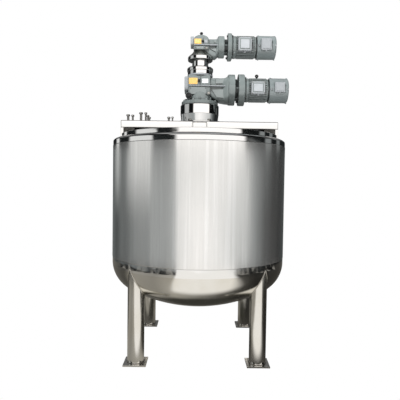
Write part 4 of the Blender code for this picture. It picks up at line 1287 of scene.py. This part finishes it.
def make_scraper_frame():
    """A bent tube that follows the wall and the dish, welded to a hub on the outer shaft."""
    corner, tube, hub = FRAME_CORNER_RADIUS, FRAME_TUBE_RADIUS, FRAME_HUB_RADIUS
    side = [(0.060, FRAME_TOP)]
    side += arc((FRAME_RADIUS - corner, FRAME_TOP - corner), corner, 90, 0, 16)
    side += [(FRAME_RADIUS, 1.2), (FRAME_RADIUS, 1.0)]
    side += dish_curve(HEAD_RADIUS - FRAME_RADIUS, 20, 24, 0.004)
    route = [(-x, 0.0, z) for x, z in side] + [(x, 0.0, z) for x, z in side[::-1]]
    shape = Shape()
    shape.sweep(route, tube, "inner_steel", 32)
    shape.rod((0, 0, FRAME_TOP - 0.040), UP, hub, 0.080, "inner_steel", 0.003, 96, 0.0453)
    for sign in (-1, 1):
        weld = []
        for y, z in spokes(32, tube):
            weld.append((sign * (math.sqrt(hub**2 - y * y) + 0.0005), y, FRAME_TOP + z))
        shape.sweep(weld, 0.003, "weld_steel", 10, True)
    shape.visual("scraper_frame", "inner_steel")


def make_paddle(name):
    """A hub with two blades at 45 degrees, welded on, and its set screws."""
    height = centre_of(name)[2]
    hub, hub_half, start = PADDLE_HUB_RADIUS, PADDLE_HUB_HALF, PADDLE_HUB_RADIUS - 0.008
    half = Vector(((PADDLE_REACH - start) / 2, 0.005, 0.045))
    shape = Shape()
    shape.rod((0, 0, height - hub_half), UP, hub, 2 * hub_half, "inner_steel", 0.003, 64, 0.0253)
    for sign in (-1, 1):
        place = Matrix.Translation((sign * (start + PADDLE_REACH) / 2, 0.0, height))
        turn = place @ Matrix.Rotation(sign * math.radians(45), 4, "X")
        shape.box(-half, half, "inner_steel", 0.0015, 3, turn)
        shape.screw((0, sign * (hub - 0.001), height + 0.030), (0, sign, 0), 0.0060)
    shape.visual(name, "inner_steel")


# Camera, floor and light

# Light round the horizon as (degrees from the front towards +X, display level seen in steel):
# pale and dark walls, listed for each height. SHELL is what the brushed cladding reflects
# and MIRROR what the polished pieces reflect.
SHELL_LOW = (
    (-180, 120), (-150, 92), (-132, 64), (-118, 100), (-106, 84), (-99, 104), (-86, 124),
    (-65, 128), (-61, 154), (-40, 150), (-30, 168), (-25, 234), (0, 250), (28, 228), (48, 206),
    (62, 196), (72, 148), (80, 116), (94, 50), (108, 22), (130, 18), (150, 60), (180, 120),
)
SHELL_HIGH = (
    (-180, 120), (-150, 88), (-132, 180), (-126, 156), (-118, 98), (-108, 122), (-101, 190),
    (-90, 210), (-65, 210), (-61, 164), (-52, 155), (-38, 157), (-30, 180), (-25, 238),
    (36, 238), (54, 222), (64, 216), (72, 162), (80, 124), (94, 74), (98, 84), (106, 44),
    (118, 28), (124, 52), (130, 28), (150, 60), (180, 120),
)
MIRROR_LOW = (
    (-180, 60), (-150, 34), (-140, 26), (-134, 216), (-129, 216), (-126, 26), (-103, 26),
    (-98, 216), (-63, 220), (-59, 30), (-32, 24), (-27, 256), (58, 256), (62, 16), (92, 20),
    (95, 130), (104, 130), (107, 24), (118, 24), (121, 120), (128, 120), (131, 30), (150, 34),
    (180, 60),
)
MIRROR_HIGH = (
    (-180, 60), (-140, 24), (-104, 20), (-98, 176), (-70, 180), (-65, 18), (-40, 18), (-35, 268),
    (56, 268), (60, 12), (112, 16), (118, 110), (126, 24), (180, 60),
)
# Each band of the walls above the lowest, with the heights between which it takes over
WALL_BANDS = ((SHELL_HIGH, -0.09, 0.055), (MIRROR_LOW, 0.07, 0.085), (MIRROR_HIGH, 0.128, 0.150))
REAR_WALL, FRONT_ROOF, REAR_ROOF, CEILING = shade(112), shade(14), shade(100), shade(168)
STEEL_SHARE = 0.84
DIFFUSE_CUT = 0.72
WHITE = (1.0, 1.0, 1.0, 1.0)

# Floor: the levels by direction as (degrees, linear level), the lit part before the tank, the painted
# shadow under the tank, and the clutter
FLOOR_RADIUS = 4.75
FLOOR_LEVELS = (
    (-180, 0.24), (-130, 0.12), (-100, 0.07), (-80, 0.34), (-50, 0.28), (-30, 0.40),
    (30, 0.10), (70, 0.02), (130, 0.05), (180, 0.24),
)
DARK_CLUTTER, PALE_CLUTTER = shade(20, 20, 19), shade(150, 147, 140)
# The second colour is the painted shadow on the floor under the tank.
LIT_FLOOR, FLOOR_SHADOW_UNDER_TANK = shade(254, 251, 246), shade(57, 56, 51)

# Lights: place, target, size and power
AREA_LIGHTS = {
    "key": ((-0.8, -2.4, 5.6), (0.3, 0.0, 2.3), 1.0, 250),
    "low_fill": ((0.8, -2.6, 0.5), (0.3, 0.0, 2.2), 1.6, 60),
    "rear_fill": ((0.8, 3.6, 3.6), (0.3, 0.0, 2.2), 1.8, 150),
}


def make_camera():
    camera = bpy.data.cameras.new("camera")
    camera.sensor_fit = "HORIZONTAL"
    camera.sensor_width = SENSOR_WIDTH
    camera.lens = CAMERA_LENS
    obj = new_object("camera", camera)
    obj.location = CAMERA_PLACE
    obj.rotation_euler = [math.radians(turn) for turn in CAMERA_TURN]
    bpy.context.scene.camera = obj


def wall_light(level):
    """The light that shows as a display level in steel, a little cool where dark, warm where pale."""
    light, warmth = linear(level) / STEEL_SHARE, level / 255
    tint = (0.86 + 0.15 * warmth, 1.0 - 0.015 * warmth, 1.02 - 0.055 * warmth)
    return tuple(light * part for part in tint) + (1.0,)


def floor_light(level):
    return (level, level * 0.95, level * 0.84, 1.0)


def compass(nodes, x, y):
    """The direction round the horizon, from 0 behind the tank over 0.5 in front to 1 behind."""
    angle = nodes.math("ARCTAN2", x, nodes.product(y, -1.0))
    return nodes.math("ADD", nodes.math("DIVIDE", angle, 2 * math.pi), 0.5)


def compass_ramp(nodes, azimuth, stops, light):
    """Light round the horizon, from stops in degrees and the light that each level stands for."""
    node = nodes.node("ShaderNodeValToRGB")
    nodes.feed(node.inputs[0], azimuth)
    elements = node.color_ramp.elements
    elements.remove(elements[-1])
    for i, (degrees, level) in enumerate(stops):
        position = (degrees + 180) / 360
        element = elements.new(position) if i else elements[0]
        element.position = position
        element.color = light(level)
    return node.outputs[0]


def white_to_look_at(nodes, kind, tone, output):
    """White for the camera, the tone in reflections, and less of it as diffuse light."""
    path = nodes.node("ShaderNodeLightPath").outputs
    cut = nodes.product(path["Is Diffuse Ray"], -DIFFUSE_CUT)
    glow = nodes.node(kind, Color=tone, Strength=nodes.math("ADD", cut, 1.0))
    white = nodes.node(kind, Color=WHITE, Strength=1.0)
    chooser = nodes.node("ShaderNodeMixShader")
    sources = (path["Is Camera Ray"], glow.outputs[0], white.outputs[0])
    for socket, source in zip(chooser.inputs, sources):
        nodes.feed(socket, source)
    nodes.node(output, Surface=chooser.outputs[0])


def make_world():
    """A white background, and for reflections a studio of pale and dark walls."""
    world = bpy.data.worlds.new("studio")
    bpy.context.scene.world = world
    nodes = empty_nodes(world)
    x, y, z = nodes.axes("Generated")
    azimuth = compass(nodes, x, y)
    tone = compass_ramp(nodes, azimuth, SHELL_LOW, wall_light)
    for stops, start, end in WALL_BANDS:
        band = compass_ramp(nodes, azimuth, stops, wall_light)
        tone = nodes.mixed(nodes.smooth_step(z, start, end), tone, band)
    rear = nodes.smooth_step(y, 0.20, 0.50)
    tone = nodes.mixed(nodes.product(rear, nodes.smooth_step(z, 0.22, 0.34)), tone, REAR_WALL)
    roof = nodes.mixed(rear, FRONT_ROOF, REAR_ROOF)
    tone = nodes.mixed(nodes.smooth_step(z, 0.44, 0.48), tone, roof)
    tone = nodes.mixed(nodes.smooth_step(z, 0.80, 0.92), tone, CEILING)
    white_to_look_at(nodes, "ShaderNodeBackground", tone, "ShaderNodeOutputWorld")


def cluttered_floor(nodes, place, floor_by_direction, distance, y):
    """The floor's levels by direction, with a far ring of dark and pale patches in front and at the sides.
    """
    patches = nodes.node("ShaderNodeTexNoise", Vector=place, Scale=1.7, Detail=6.0).outputs[0]
    speckle = nodes.smooth_step(patches, 0.50, 0.57)
    clutter = nodes.mixed(speckle, DARK_CLUTTER, PALE_CLUTTER)
    ring = nodes.product(nodes.smooth_step(distance, 3.6, 3.8), nodes.smooth_step(y, 2.2, 1.2))
    return nodes.mixed(ring, floor_by_direction, clutter)


def lit_share(nodes, x, forward):
    """How much a place lies in the bright zone before the tank, between two slanted lines."""
    left_line = nodes.math("ADD", x, nodes.product(forward, 0.43))
    right_line = nodes.math("SUBTRACT", x, nodes.product(forward, 0.95))
    left = nodes.smooth_step(left_line, -0.17, -0.02)
    right = nodes.smooth_step(right_line, 0.42, -0.30)
    near = nodes.smooth_step(forward, 0.60, 0.90)
    return nodes.product(left, right, near)


def floor_material():
    """Plain white to look at; in reflections a workshop floor whose level changes by direction, with a
    painted shadow under the tank.
    """
    material = bpy.data.materials.new("floor")
    nodes = empty_nodes(material)
    place = nodes.node("ShaderNodeTexCoord").outputs["Object"]
    x, y, _ = nodes.node("ShaderNodeSeparateXYZ", Vector=place).outputs
    distance = nodes.math("SQRT", nodes.math("ADD", nodes.product(x, x), nodes.product(y, y)))
    floor_by_direction = compass_ramp(nodes, compass(nodes, x, y), FLOOR_LEVELS, floor_light)
    tone = cluttered_floor(nodes, place, floor_by_direction, distance, y)
    tone = nodes.mixed(lit_share(nodes, x, nodes.product(y, -1.0)), tone, LIT_FLOOR)
    # Painted shadow on the floor under the tank.
    tone = nodes.mixed(nodes.smooth_step(distance, 0.30, 0.62), FLOOR_SHADOW_UNDER_TANK, tone)
    white_to_look_at(nodes, "ShaderNodeEmission", tone, "ShaderNodeOutputMaterial")
    return material


def make_floor():
    form = bmesh.new()
    bmesh.ops.create_circle(form, cap_ends=True, segments=96, radius=FLOOR_RADIUS)
    mesh = mesh_of("floor", form)
    mesh.materials.append(floor_material())
    floor = new_object("floor", mesh)
    floor.location = (0.0, 0.0, -0.0005)


def make_lights():
    """Soft lights that shape the painted castings and stay out of reflections."""
    for name, (place, target, size, power) in AREA_LIGHTS.items():
        light = bpy.data.lights.new(name, "AREA")
        light.shape = "DISK"
        light.size = size
        light.energy = power
        obj = new_object(name, light)
        obj.location = place
        obj.rotation_euler = (Vector(target) - Vector(place)).to_track_quat("-Z", "Y").to_euler()
        obj.visible_glossy = False


make_camera()
make_world()
make_floor()
make_lights()
bpy.context.scene.view_settings.view_transform = "Standard"

make_cladding()
make_dish()
make_outlet()
make_shoulder()
for corner in ("front_left", "front_right", "rear_left", "rear_right"):
    make_leg(f"leg_{corner}")
    make_foot_plate(f"foot_plate_{corner}")
make_rear_cover()
make_lid()
make_handle()
make_bridge()
make_bridge_welds()
for number in range(1, 9):
    make_stub(f"stub_{number}")
make_seal()
make_lantern()
make_lower_flange()
make_top_cover()
make_spool()
make_upper_flange()
make_lower_gearbox()
make_upper_gearbox()
for drive in (LOWER, UPPER):
    make_side_cover(drive)
    make_neck(drive)
    make_motor(drive)
    make_terminal_box(drive)
    make_cowl(drive)
make_breather()
make_eyebolt()
make_shaft("outer_shaft", 0.0015, 0.032)
make_shaft("inner_shaft", 0.003)
make_scraper_frame()
make_paddle("paddle_lower")
make_paddle("paddle_upper")
for side in ("left", "right"):
    make_bridge_foot(side)
